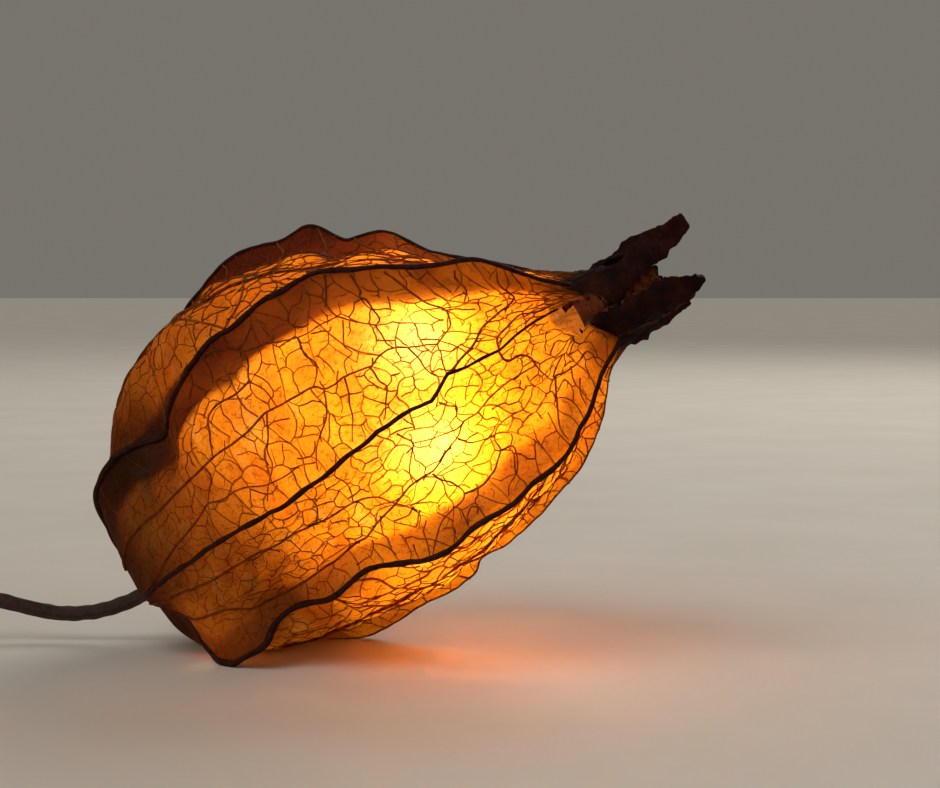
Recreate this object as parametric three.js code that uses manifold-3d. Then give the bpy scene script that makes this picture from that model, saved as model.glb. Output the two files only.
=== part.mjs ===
import * as THREE from 'three';
import { mergeVertices } from 'three/addons/utils/BufferGeometryUtils.js';
import Module from 'manifold-3d';

// A physalis berry as picked: a dried five-ridged husk that lies tilted on a table, the fruit inside it and its stalk.
// Millimetres, +Z up, the table at z = 0. Each path below is (distance along the husk's axis, radius).

// Pose on the table
const TILT = 31.7;
const YAW = -15;
const BASE_HEIGHT = 3.9;

// Husk
const BOW = 3.2;
const BOW_LENGTH = 40;
const WALL = 0.6;
const WING_HEIGHT = 1.5;
const WING_WIDTH = 1.7;
const PUCKER = 0.22;
const RIDGES = [
  {
    angle: 41,
    path: [[0.3, 1.5], [1.0, 4.0], [1.8, 6.6], [3.4, 9.5], [6.2, 10.5], [8.6, 9.3], [9.9, 8.9], [11.6, 10.4],
      [14.8, 11.9], [18.6, 12.4], [22.2, 12.8], [26.3, 12.9], [30.6, 10.5], [35.2, 8.3], [37.6, 4.6], [39.2, 2.8]],
  },
  {
    angle: 108,
    path: [[0.3, 1.5], [0.9, 4.5], [2.0, 8.0], [4.5, 11.4], [8.0, 13.6], [11.5, 14.9], [14.5, 15.6], [17.0, 15.8],
      [20.3, 14.9], [23.4, 14.3], [25.4, 12.0], [27.9, 11.5], [30.6, 8.4], [34.5, 5.6], [37.2, 3.6], [39.2, 2.8]],
  },
  {
    angle: 176,
    path: [[0.3, 1.5], [0.9, 4.5], [2.0, 7.8], [4.5, 10.8], [9.0, 12.6], [12.0, 13.9], [16.0, 14.2], [19.5, 14.9],
      [24.0, 13.6], [27.0, 12.4], [30.0, 10.4], [33.5, 6.9], [37.0, 3.9], [39.2, 2.9]],
  },
  {
    angle: 246,
    path: [[0.3, 1.5], [0.9, 4.2], [2.4, 7.4], [5.4, 10.2], [8.9, 13.3], [10.9, 14.6], [15.0, 15.3], [19.9, 15.6],
      [21.4, 14.7], [24.0, 14.6], [28.3, 13.1], [30.9, 11.8], [32.8, 10.3], [34.9, 8.2], [37.4, 5.0], [39.6, 3.3]],
  },
  {
    angle: 310,
    path: [[0.3, 1.5], [1.6, 3.2], [3.2, 5.8], [4.4, 9.6], [5.6, 12.1], [7.4, 13.0], [9.2, 13.4], [10.4, 12.5],
      [12.7, 12.8], [15.5, 14.2], [18.6, 13.8], [22.9, 15.7], [28.4, 14.4], [33.3, 11.9], [35.6, 9.6], [37.9, 6.2],
      [39.8, 3.6]],
  },
];
// Radius of a groove along the husk, as a share of its full radius: a plain one, and one that is full near the
// stalk and sunk towards the mouth
const EVEN_GROOVE = [[0.3, 0.117], [0.9, 0.3], [2.3, 0.48], [5.0, 0.65], [9.5, 0.85], [14.0, 0.95], [19.0, 1.0],
  [24.0, 0.975], [29.0, 0.83], [33.5, 0.58], [36.8, 0.35], [39.4, 0.21]];
const SUNK_GROOVE = [[0.3, 0.117], [0.9, 0.33], [2.3, 0.55], [4.2, 0.71], [5.9, 0.85], [8.7, 0.96], [12.5, 1.0],
  [16.0, 0.976], [20.3, 0.913], [23.6, 0.81], [28.0, 0.68], [33.0, 0.46], [36.8, 0.3], [39.4, 0.22]];
// Sideways turn of a groove about the axis, in degrees, at shares of its length
const STRAIGHT = [[0, 0], [1, 0]];
const ZIGZAG = [[0, -6], [0.2, -9], [0.36, -12], [0.52, -11.8], [0.64, -8], [0.71, -9.8], [0.75, -3.8], [0.84, -3.5],
  [0.93, 9], [1, 20]];
// The groove that follows each ridge, with the side veins up each half panel beside it and the size of its net
const GROOVES = [
  { radius: 12.6, path: SUNK_GROOVE, turn: STRAIGHT, veins: 0, cell: 3.7 },
  { radius: 13.2, path: EVEN_GROOVE, turn: STRAIGHT, veins: 0, cell: 3.7 },
  { radius: 13.0, path: EVEN_GROOVE, turn: STRAIGHT, veins: 0, cell: 3.7 },
  { radius: 13.4, path: EVEN_GROOVE, turn: STRAIGHT, veins: 0, cell: 3.7 },
  { radius: 12.6, path: EVEN_GROOVE, turn: ZIGZAG, veins: 1, cell: 2.7 },
];

// Veins: how far each kind stands out and half its width
const VEINS = {
  rib: { height: 0.45, width: 0.5 },
  groove: { height: 0.55, width: 0.5 },
  side: { height: 0.38, width: 0.42 },
  root: { height: 0.12, width: 0.35 },
  net: { height: 0.27, width: 0.34 },
};
const WING_CELL = 3.4;
const NET_START = 0.1;
const SEED = 7;

// Torn hole beside the mouth: outline as (distance along the axis, height across it) seen from the front
const TEAR = [[36.9, 0.5], [37.5, -0.4], [38.1, -1.1], [39.0, -0.7], [39.8, -0.4], [40.5, 0.4], [39.6, 0.9],
  [38.4, 1.3], [37.2, 1.1]];
const TEAR_CENTRE = [38.5, 0.2];

// Lobes: where they leave the mouth, length, sideways turn, and their half widths and radii from root to tip
const LOBES = [
  { angle: 38, z: 37.6, length: 10.3, turn: 3, halves: [1.9, 2.0, 1.95, 1.6, 1.15, 0.6], radii: [2.5, 2.6, 2.6, 2.7, 2.9] },
  { angle: 108, z: 37.4, length: 7.4, turn: -30, halves: [1.7, 1.6, 1.4, 1.1, 0.8, 0.4], radii: [2.4, 2.5, 2.7, 2.6, 2.4] },
  { angle: 176, z: 37.4, length: 6.8, turn: 0, halves: [1.6, 1.5, 1.2, 1.0, 0.8, 0.55], radii: [2.5, 2.3, 1.8, 1.0, 0.4] },
  { angle: 246, z: 37.8, length: 7.2, turn: 26, halves: [1.8, 1.7, 1.4, 1.1, 0.8, 0.45], radii: [2.9, 3.0, 2.9, 2.7, 2.5] },
  { angle: 316, z: 37.9, length: 8.8, turn: 0, halves: [2.0, 1.95, 1.8, 1.5, 1.1, 0.5], radii: [3.1, 3.2, 3.2, 3.0, 2.9] },
];
const LOBE_THICKNESS = 0.7;

// Fruit and stalk
const BERRY_RADIUS = 7.7;
const BERRY_CENTRE = 10.5;
const STEM_RADIUS = 0.55;
const HOLE_RADIUS = 1.1;
const RECEPTACLE_RADIUS = 2.0;
// Route of the stalk outside the husk, from the husk's base to the cut end: (x, y, z) from the base
const STEM_ROUTE = [[-1.3, 0.3, -0.75], [-2.6, 0.5, -1.25], [-4.4, 0.7, -1.72], [-6.6, 0.8, -1.82],
  [-9.0, 0.8, -1.4], [-11.6, 0.7, -0.72], [-14.2, 0.5, -0.25], [-16.6, 0.3, -0.55], [-18.6, 0.1, -1.5],
  [-20.2, 0.0, -2.95]];

const rad = THREE.MathUtils.degToRad;
const mix = THREE.MathUtils.lerp;

// A small repeatable random source
function randomSource(seed) {
  let state = seed;
  return () => {
    state = (state * 1664525 + 1013904223) % 4294967296;
    return state / 4294967296;
  };
}

// Frame of the husk's axis: along it, up across it and towards the front
const AXIS = new THREE.Vector3(
  Math.cos(rad(TILT)) * Math.cos(rad(YAW)),
  Math.cos(rad(TILT)) * Math.sin(rad(YAW)),
  Math.sin(rad(TILT)),
);
const UP = new THREE.Vector3(0, 0, 1).addScaledVector(AXIS, -AXIS.z).normalize();
const FRONT = new THREE.Vector3().crossVectors(AXIS, UP);
const BASE = new THREE.Vector3(0, 0, BASE_HEIGHT);

function inSpace(along, up, front) {
  return BASE.clone().addScaledVector(AXIS, along).addScaledVector(UP, up).addScaledVector(FRONT, front);
}

function bowAt(along) {
  return BOW * Math.sin(Math.PI * THREE.MathUtils.clamp(along / BOW_LENGTH, 0, 1));
}

// Point at an angle and radius round the bowed centre line
function roundAxis(along, radius, angle) {
  return inSpace(along, bowAt(along) + radius * Math.sin(rad(angle)), radius * Math.cos(rad(angle)));
}

// Smooth curve through path points, read by its share of length
function pathCurve(points) {
  const curve = new THREE.CatmullRomCurve3(points.map(([z, r]) => new THREE.Vector3(z, r, 0)), false, 'centripetal');
  curve.arcLengthDivisions = 400;
  return curve;
}

const ridgeCurves = RIDGES.map((ridge) => pathCurve(ridge.path));
const grooveCurves = GROOVES.map(({ radius, path }) => pathCurve(path.map(([z, share]) => [z, share * radius])));

// Sideways turn of a groove at a share of its length
function grooveTurn(groove, t) {
  const stops = GROOVES[groove].turn;
  const next = Math.max(1, stops.findIndex(([share]) => share >= t));
  const [[low, before], [high, after]] = [stops[next - 1], stops[next]];
  return mix(before, after, (t - low) / (high - low));
}

// The husk is ten half panels: an even one runs from a ridge to the groove after it, an odd one from the groove
// to the next ridge. A point on it is (half panel, share from ridge to groove, share of length).
function halfPanel(index) {
  const groove = Math.floor(index / 2);
  const ridge = index % 2 === 0 ? groove : (groove + 1) % 5;
  const before = RIDGES[groove].angle;
  const after = RIDGES[(groove + 1) % 5].angle + (groove === 4 ? 360 : 0);
  const middle = (before + after) / 2;
  return { ridge, groove, ridgeAngle: index % 2 === 0 ? before : after, grooveAngle: middle };
}

const HALVES = Array.from({ length: 10 }, (_, index) => halfPanel(index));

// Height of the wing at a share of length
function wingAt(t) {
  return WING_HEIGHT * THREE.MathUtils.smoothstep(t, 0.05, 0.22) * (1 - 0.6 * THREE.MathUtils.smoothstep(t, 0.82, 1));
}

// Gentle hollows and swells of the dry film, none at the ridges, the grooves and the two ends
function crumple(angle, t, x) {
  const wave = Math.sin(t * 31 + 0.07 * angle) * Math.sin(0.11 * angle + 9 * t);
  return 0.35 * wave * Math.sin(Math.PI * x) * Math.sin(Math.PI * t);
}

// Ridge and groove meet in a panel that is flat beside the groove and pinched into a wing at the ridge
function huskPoint(index, x, t, options = {}) {
  const half = HALVES[index];
  const ridge = ridgeCurves[half.ridge].getPointAt(t);
  const groove = grooveCurves[half.groove].getPointAt(t);
  const along = mix(ridge.x, groove.x, x * x * (3 - 2 * x));
  const angle = mix(half.ridgeAngle, half.grooveAngle + grooveTurn(half.groove, t), x);
  const wing = wingAt(t);
  const span = Math.max(0.5, rad(Math.abs(half.grooveAngle - half.ridgeAngle)) * ridge.y);
  const reach = Math.min(WING_WIDTH, span * 0.35);
  const fold = Math.pow(Math.max(0, 1 - (x * span) / reach), 1.6);
  const body = groove.y + (ridge.y - wing - groove.y) * (1 - x) * (1 - x);
  const radius = body + (options.inner ? 0 : wing * fold) + crumple(angle, t, x);
  return roundAxis(along, radius + (options.lift || 0), angle);
}

// Half panel's width at a share of length, from ridge to groove
function panelWidth(index, t) {
  const half = HALVES[index];
  const radius = (ridgeCurves[half.ridge].getPointAt(t).y + grooveCurves[half.groove].getPointAt(t).y) / 2;
  return rad(Math.abs(half.grooveAngle - half.ridgeAngle)) * radius;
}

// Lines that divide a half panel into strips: the ridge, the wing's root, the side veins and the groove
function stripBorders(index) {
  const random = randomSource(SEED + 31 * index);
  const root = (t) => Math.min(0.3, WING_WIDTH / panelWidth(index, t));
  const count = GROOVES[HALVES[index].groove].veins;
  const borders = [{ kind: 'rib', at: () => 0 }, { kind: 'root', at: root }];
  for (let k = 1; k <= count; k += 1) {
    const share = k / (count + 1) + 0.06 * (random() - 0.5);
    const phase = 6.28 * random();
    borders.push({ kind: 'side', at: (t) => mix(root(t), 1, share + 0.05 * Math.sin(9 * t + phase)) });
  }
  borders.push({ kind: 'groove', at: () => 1 });
  return borders;
}

// Convex polygon cut to one side of the line half way between two points
function nearerSide(polygon, own, other) {
  const mid = [(own[0] + other[0]) / 2, (own[1] + other[1]) / 2];
  const dir = [other[0] - own[0], other[1] - own[1]];
  const side = polygon.map((p) => (p[0] - mid[0]) * dir[0] + (p[1] - mid[1]) * dir[1]);
  const kept = [];
  polygon.forEach((p, i) => {
    const j = (i + 1) % polygon.length;
    if (side[i] <= 0) kept.push(p);
    if ((side[i] < 0) !== (side[j] < 0) && side[i] !== side[j]) {
      const f = side[i] / (side[i] - side[j]);
      kept.push([mix(p[0], polygon[j][0], f), mix(p[1], polygon[j][1], f)]);
    }
  });
  return kept;
}

// Cells of one strip in millimetres: across it and along it
function stripCells(width, length, cell, random) {
  const columns = Math.max(1, Math.round(width / cell));
  const rows = Math.round(length / cell);
  const slant = columns > 1 ? 0.5 : 0.8;
  const seeds = [];
  for (let row = 0; row < rows; row += 1) {
    for (let column = 0; column < columns; column += 1) {
      const stagger = columns > 1 ? 0.5 * (column % 2) : 0;
      const across = (column + 0.5 + slant * (random() - 0.5)) / columns;
      const along = (row + 0.2 + stagger + 0.6 * random()) / (rows + (columns > 1 ? 0.5 : 0));
      seeds.push([across * width, Math.min(0.98, along) * length]);
    }
  }
  return seeds.map((own, i) => {
    let polygon = [[0, 0], [width, 0], [width, length], [0, length]];
    seeds.forEach((other, j) => {
      const mirrored = [other, [-other[0], other[1]], [2 * width - other[0], other[1]]];
      mirrored.forEach((seed, k) => {
        if (j !== i || k > 0) polygon = nearerSide(polygon, own, seed);
      });
    });
    return polygon;
  });
}

// Raised net of the husk: every cell has a low middle and shares its raised borders with its neighbours
function netSurface() {
  const points = [];
  const faces = [];
  const borderLines = new Map();
  const add = (point) => points.push(point) - 1;

  const strips = [];
  HALVES.forEach((half, index) => {
    const random = randomSource(SEED + 101 * index + 5);
    const borders = stripBorders(index);
    for (let s = 0; s + 1 < borders.length; s += 1) {
      const width = (borders[s + 1].at(0.5) - borders[s].at(0.5)) * panelWidth(index, 0.5);
      const length = grooveCurves[half.groove].getLength() * (1 - NET_START);
      const ids = [s, s + 1].map((k) => {
        if (k === 0) return `ridge${half.ridge}`;
        if (k === borders.length - 1) return `groove${half.groove}`;
        return `${index}:${k}`;
      });
      const cell = s === 0 ? WING_CELL : GROOVES[half.groove].cell;
      const cells = stripCells(width, length, cell, random);
      strips.push({ index, borders: [borders[s], borders[s + 1]], ids, width, length, cells });
    }
  });

  // Heights where cell borders meet each line, brought together where they nearly agree
  strips.forEach((strip) => {
    strip.cells.flat().forEach(([across, along]) => {
      [0, strip.width].forEach((edge, side) => {
        if (Math.abs(across - edge) > 1e-6) return;
        const id = strip.ids[side];
        if (!borderLines.has(id)) borderLines.set(id, []);
        borderLines.get(id).push(along / strip.length);
      });
    });
  });
  const SNAP = 0.016;
  borderLines.forEach((shares, id) => {
    const sorted = [...shares].sort((a, b) => a - b);
    const groups = [];
    sorted.forEach((share) => {
      const last = groups[groups.length - 1];
      if (last && share - last.first < SNAP) last.all.push(share);
      else groups.push({ first: share, all: [share] });
    });
    const stops = groups.map((group) => group.all.reduce((sum, v) => sum + v, 0) / group.all.length);
    stops[0] = 0;
    stops[stops.length - 1] = 1;
    borderLines.set(id, stops.map((share) => ({ share, vertex: -1 })));
  });

  const lengthShare = (share) => NET_START + share * (1 - NET_START);
  const borderStop = (id, share) => {
    const stops = borderLines.get(id);
    return stops.reduce((best, stop) => (Math.abs(stop.share - share) < Math.abs(best.share - share) ? stop : best));
  };

  strips.forEach((strip) => {
    const [left, right] = strip.borders;
    const surface = ([across, along], lift) => {
      const t = lengthShare(along / strip.length);
      const x = mix(left.at(t), right.at(t), across / strip.width);
      return huskPoint(strip.index, x, t, { lift });
    };
    const inside = [];
    const corner = ([across, along]) => {
      for (let side = 0; side < 2; side += 1) {
        const edge = side * strip.width;
        if (Math.abs(across - edge) < 0.45) {
          const stop = borderStop(strip.ids[side], along / strip.length);
          const kind = strip.borders[side].kind;
          if (stop.vertex < 0) stop.vertex = add(surface([edge, stop.share * strip.length], VEINS[kind].height));
          return { vertex: stop.vertex, side, share: stop.share, place: [edge, stop.share * strip.length], kind };
        }
      }
      let near = inside.find((c) => Math.hypot(c.place[0] - across, c.place[1] - along) < 0.5);
      if (!near) {
        const vertex = add(surface([across, along], VEINS.net.height));
        near = { vertex, side: -1, share: along / strip.length, place: [across, along], kind: 'net' };
        inside.push(near);
      }
      return near;
    };
    strip.cells.forEach((polygon) => {
      let ring = polygon.map(corner).filter((c, i, all) => c.vertex !== all[(i + 1) % all.length].vertex);
      const full = [];
      ring.forEach((c, i) => {
        const next = ring[(i + 1) % ring.length];
        full.push(c);
        if (c.side < 0 || c.side !== next.side) return;
        const stops = borderLines.get(strip.ids[c.side]);
        const low = Math.min(c.share, next.share);
        const high = Math.max(c.share, next.share);
        const between = stops.filter((s) => s.share > low + 1e-9 && s.share < high - 1e-9);
        if (c.share > next.share) between.reverse();
        between.forEach((stop) => {
          const place = [c.place[0], stop.share * strip.length];
          if (stop.vertex < 0) stop.vertex = add(surface(place, VEINS[c.kind].height));
          full.push({ vertex: stop.vertex, side: c.side, share: stop.share, place, kind: c.kind });
        });
      });
      ring = full;
      if (ring.length < 3) return;
      const middle = [0, 1].map((k) => ring.reduce((sum, c) => sum + c.place[k], 0) / ring.length);
      const low = ring.map((c) => {
        const reach = Math.hypot(middle[0] - c.place[0], middle[1] - c.place[1]);
        const f = Math.min(0.42, (1.45 * VEINS[c.kind].width) / reach);
        return add(surface([mix(c.place[0], middle[0], f), mix(c.place[1], middle[1], f)], 0));
      });
      const centre = add(surface(middle, PUCKER));
      // Cells on even and odd half panels are mirrored, so their corners run the other way round
      const turn = strip.index % 2 === 0;
      const face = (a, b, c) => faces.push(turn ? [a, c, b] : [a, b, c]);
      ring.forEach((c, i) => {
        const j = (i + 1) % ring.length;
        face(c.vertex, ring[j].vertex, low[j]);
        face(c.vertex, low[j], low[i]);
        face(low[i], low[j], centre);
      });
    });
  });

  return { points, faces };
}

// Rims have to be known by vertex: the open edges of the net are followed from one vertex to the next
function openLoops(faces) {
  const next = new Map();
  const seen = new Set(faces.flatMap(([a, b, c]) => [`${a},${b}`, `${b},${c}`, `${c},${a}`]));
  faces.forEach(([a, b, c]) => {
    [[a, b], [b, c], [c, a]].forEach(([from, to]) => {
      if (!seen.has(`${to},${from}`)) next.set(to, from);
    });
  });
  const loops = [];
  while (next.size) {
    const start = next.keys().next().value;
    const loop = [];
    let at = start;
    while (next.has(at)) {
      loop.push(at);
      const to = next.get(at);
      next.delete(at);
      at = to;
    }
    loops.push(loop);
  }
  return loops;
}

// Angle of a point round the husk's straight axis
function angleOf(point) {
  const from = point.clone().sub(BASE);
  const along = from.dot(AXIS);
  return Math.atan2(from.dot(UP) - bowAt(along), from.dot(FRONT));
}

// Band of triangles between two rings of vertices that run the same way round
function joinRings(points, faces, outer, inner) {
  const sortByAngle = (ring) => {
    const angles = ring.map((v) => angleOf(points[v]));
    const start = angles.indexOf(Math.min(...angles));
    return ring.map((_, i) => {
      const k = (start + i) % ring.length;
      return { vertex: ring[k], angle: angles[k] };
    });
  };
  const a = sortByAngle(outer);
  const b = sortByAngle(inner);
  let i = 0;
  let j = 0;
  const angleAt = (ring, k) => ring[k % ring.length].angle + (k >= ring.length ? 2 * Math.PI : 0);
  while (i < a.length || j < b.length) {
    const takeOuter = j >= b.length || (i < a.length && angleAt(a, i + 1) <= angleAt(b, j + 1));
    const va = a[i % a.length].vertex;
    const vb = b[j % b.length].vertex;
    if (takeOuter) {
      faces.push([va, a[(i + 1) % a.length].vertex, vb]);
      i += 1;
    } else {
      faces.push([va, b[(j + 1) % b.length].vertex, vb]);
      j += 1;
    }
  }
}

const wasm = await Module();
wasm.setup();

function solidFromArrays(points, faces) {
  const vertProperties = new Float32Array(points.flatMap((p) => [p.x, p.y, p.z]));
  const triVerts = new Uint32Array(faces.flat());
  const mesh = new wasm.Mesh({ numProp: 3, vertProperties, triVerts });
  mesh.merge();
  return new wasm.Manifold(mesh);
}

function solidFromGeometry(geometry) {
  geometry.deleteAttribute('normal');
  geometry.deleteAttribute('uv');
  const merged = mergeVertices(geometry, 1e-4);
  const triVerts = new Uint32Array(merged.index.array);
  return new wasm.Manifold(new wasm.Mesh({ numProp: 3, vertProperties: merged.attributes.position.array, triVerts }));
}

function geometryFromSolid(solid) {
  const mesh = solid.getMesh();
  const geometry = new THREE.BufferGeometry();
  geometry.setAttribute('position', new THREE.BufferAttribute(new Float32Array(mesh.vertProperties), 3));
  geometry.setIndex(new THREE.BufferAttribute(new Uint32Array(mesh.triVerts), 1));
  return geometry;
}

function ringAt(points, count, place) {
  return Array.from({ length: count }, (_, i) => points.push(place(i)) - 1);
}

// Ring round the husk at one share of length, two points to each half panel
const ROUND = 20;
function panelRing(points, t, options) {
  return ringAt(points, ROUND, (i) => {
    const index = Math.floor(i / 2);
    const even = index % 2 === 0;
    const x = i % 2 === 0 ? (even ? 0 : 1) : 0.5;
    const lift = options.inner ? 0 : [VEINS.rib.height, 0, VEINS.groove.height, 0][i % 4];
    return huskPoint(index, x, t, { ...options, lift });
  });
}

// Outside of the husk, closed at both ends
function huskOutside() {
  const { points, faces } = netSurface();
  const loops = openLoops(faces);
  const height = (loop) => loop.reduce((sum, v) => sum + points[v].clone().sub(BASE).dot(AXIS), 0) / loop.length;
  loops.sort((one, two) => height(one) - height(two));
  const [foot, mouth] = loops;
  const rise = (loop) => {
    const angles = loop.map((v) => angleOf(points[v]));
    let ups = 0;
    angles.forEach((angle, i) => {
      const step = angles[(i + 1) % angles.length] - angle;
      if (Math.abs(step) < 3) ups += Math.sign(step);
    });
    return ups > 0 ? loop : [...loop].reverse();
  };
  const start = panelRing(points, 0, {});
  const between = panelRing(points, NET_START * 0.5, {});
  const tip = points.push(inSpace(0.3, 0, 0)) - 1;
  joinRings(points, faces, rise(foot), between);
  joinRings(points, faces, between, start);
  start.forEach((v, i) => faces.push([v, start[(i + 1) % ROUND], tip]));
  const mouthRing = rise(mouth);
  const centre = points.push(roundAxis(39.6, 0, 0)) - 1;
  mouthRing.forEach((v, i) => faces.push([mouthRing[(i + 1) % mouthRing.length], v, centre]));
  return solidFromArrays(points, faces);
}

// Space inside the husk, run out through the stalk's hole and through the mouth
function huskInside() {
  const points = [];
  const faces = [];
  const COUNT = 30;
  const place = (i, t) => {
    const index = Math.floor(i / 3);
    const share = (i % 3) / 3;
    const x = index % 2 === 0 ? share : 1 - share;
    const options = { inner: true };
    const here = huskPoint(index, x, t, options);
    const step = 0.004;
    const alongStep = huskPoint(index, x, Math.min(1, t + step), options)
      .sub(huskPoint(index, x, Math.max(0, t - step), options));
    const centre = BASE.clone().addScaledVector(AXIS, here.clone().sub(BASE).dot(AXIS));
    const side = new THREE.Vector3().crossVectors(AXIS, here.clone().sub(centre));
    const normal = new THREE.Vector3().crossVectors(side, alongStep).normalize();
    const out = here.clone().sub(BASE).dot(normal) - inSpace(20, 2, 0).sub(BASE).dot(normal);
    return here.addScaledVector(normal, out > 0 ? -WALL : WALL);
  };
  const rings = [];
  const hole = (along) => ringAt(points, COUNT, (i) => {
    const index = Math.floor(i / 3);
    const share = (i % 3) / 3;
    const half = HALVES[index];
    const angle = mix(half.ridgeAngle, half.grooveAngle, index % 2 === 0 ? share : 1 - share);
    return inSpace(along, HOLE_RADIUS * Math.sin(rad(angle)), HOLE_RADIUS * Math.cos(rad(angle)));
  });
  rings.push(hole(-1.5), hole(1.1));
  const ROWS = 18;
  for (let row = 1; row <= ROWS; row += 1) {
    const t = row / ROWS;
    if (t < 0.06) continue;
    rings.push(ringAt(points, COUNT, (i) => place(i, t * 0.995)));
  }
  const last = rings[rings.length - 1];
  rings.push(ringAt(points, COUNT, (i) => points[last[i]].clone().addScaledVector(AXIS, 3)));
  for (let row = 0; row + 1 < rings.length; row += 1) {
    for (let i = 0; i < COUNT; i += 1) {
      const j = (i + 1) % COUNT;
      const [a, b, c, d] = [rings[row][i], rings[row][j], rings[row + 1][j], rings[row + 1][i]];
      faces.push([a, c, b], [a, d, c]);
    }
  }
  const foot = points.push(inSpace(-1.5, 0, 0)) - 1;
  rings[0].forEach((v, i) => faces.push([v, rings[0][(i + 1) % COUNT], foot]));
  const end = rings[rings.length - 1];
  const top = points.push(end.reduce((sum, v) => sum.add(points[v]), new THREE.Vector3()).divideScalar(COUNT)) - 1;
  end.forEach((v, i) => faces.push([end[(i + 1) % COUNT], v, top]));
  return solidFromArrays(points, faces);
}

// A dried lobe: a blade that leaves the mouth, narrows in ragged steps and curls, with its midrib raised
function lobeSolid(lobe, order) {
  const random = randomSource(SEED + 17 * order + 3);
  const points = [];
  const faces = [];
  const STATIONS = 10;
  const COLUMNS = 5;
  const curve = new THREE.CatmullRomCurve3(lobe.radii.map((r, i) => new THREE.Vector3(i, r, 0)));
  const outline = new THREE.CatmullRomCurve3(lobe.halves.map((w, i) => new THREE.Vector3(i, w, 0)));
  const top = [];
  const bottom = [];
  for (let s = 0; s < STATIONS; s += 1) {
    const share = s / (STATIONS - 1);
    const radius = curve.getPoint(share).y;
    const along = lobe.z + share * lobe.length;
    const angle = lobe.angle + lobe.turn * share;
    const half = outline.getPoint(share).y * (1 + (s > 1 ? 0.24 * (random() - 0.5) : 0));
    const fold = 0.55 * Math.sin(Math.PI * share) + 0.25;
    const rowTop = [];
    const rowBottom = [];
    for (let c = 0; c < COLUMNS; c += 1) {
      const across = (2 * c) / (COLUMNS - 1) - 1;
      const side = across * half;
      const sag = (side * side) / (2 * Math.max(2.6, radius)) + fold * 0.4 * Math.abs(across) * share;
      const wave = 0.22 * Math.sin(7 * share + 2.5 * across + order);
      const rib = c === (COLUMNS - 1) / 2 ? 0.3 : 0;
      const edge = Math.abs(across) > 0.9 ? 0.34 * (random() - 0.5) : 0;
      const put = (lift) => {
        const r = radius - sag + wave + lift;
        const up = r * Math.sin(rad(angle)) + side * Math.cos(rad(angle));
        const front = r * Math.cos(rad(angle)) - side * Math.sin(rad(angle));
        return points.push(inSpace(along + edge, bowAt(along) + up, front)) - 1;
      };
      rowTop.push(put(LOBE_THICKNESS / 2 + rib));
      rowBottom.push(put(-LOBE_THICKNESS / 2));
    }
    top.push(rowTop);
    bottom.push(rowBottom);
  }
  const quad = (a, b, c, d) => faces.push([a, b, c], [a, c, d]);
  for (let s = 0; s + 1 < STATIONS; s += 1) {
    for (let c = 0; c + 1 < COLUMNS; c += 1) {
      quad(top[s][c], top[s + 1][c], top[s + 1][c + 1], top[s][c + 1]);
      quad(bottom[s][c], bottom[s][c + 1], bottom[s + 1][c + 1], bottom[s + 1][c]);
    }
    quad(top[s][0], bottom[s][0], bottom[s + 1][0], top[s + 1][0]);
    const e = COLUMNS - 1;
    quad(top[s][e], top[s + 1][e], bottom[s + 1][e], bottom[s][e]);
  }
  for (let c = 0; c + 1 < COLUMNS; c += 1) {
    quad(top[0][c], top[0][c + 1], bottom[0][c + 1], bottom[0][c]);
    const e = STATIONS - 1;
    quad(top[e][c], bottom[e][c], bottom[e][c + 1], top[e][c + 1]);
  }
  return solidFromArrays(points, faces);
}

// Prism through the front wall with the torn hole's outline
function tearSolid() {
  const points = [];
  const faces = [];
  const layer = (front) => ({
    outline: TEAR.map(([along, up]) => points.push(inSpace(along, up, front)) - 1),
    centre: points.push(inSpace(...TEAR_CENTRE, front)) - 1,
  });
  const near = layer(8);
  const far = layer(0.9);
  TEAR.forEach((_, i) => {
    const j = (i + 1) % TEAR.length;
    const [a, b, c, d] = [near.outline[i], near.outline[j], far.outline[j], far.outline[i]];
    faces.push([a, d, c], [a, c, b], [a, b, near.centre], [c, d, far.centre]);
  });
  return solidFromArrays(points, faces);
}

function huskSolid() {
  let husk = huskOutside().subtract(huskInside());
  LOBES.forEach((lobe, order) => {
    husk = husk.add(lobeSolid(lobe, order));
  });
  husk = husk.subtract(tearSolid());
  const table = new THREE.BoxGeometry(140, 140, 20);
  table.translate(0, 0, -10);
  return husk.subtract(solidFromGeometry(table));
}

// Fruit: a round berry, dimpled where it sits on the stalk
function berryGeometry() {
  const profile = [];
  const STEPS = 18;
  for (let i = 0; i <= STEPS; i += 1) {
    const angle = (Math.PI * i) / STEPS;
    const dimple = i === 0 ? 0.35 : 0;
    profile.push(new THREE.Vector2(BERRY_RADIUS * Math.sin(angle), -(BERRY_RADIUS - dimple) * Math.cos(angle)));
  }
  profile[0].x = 0;
  profile[STEPS].x = 0;
  return new THREE.LatheGeometry(profile, 28);
}

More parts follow.
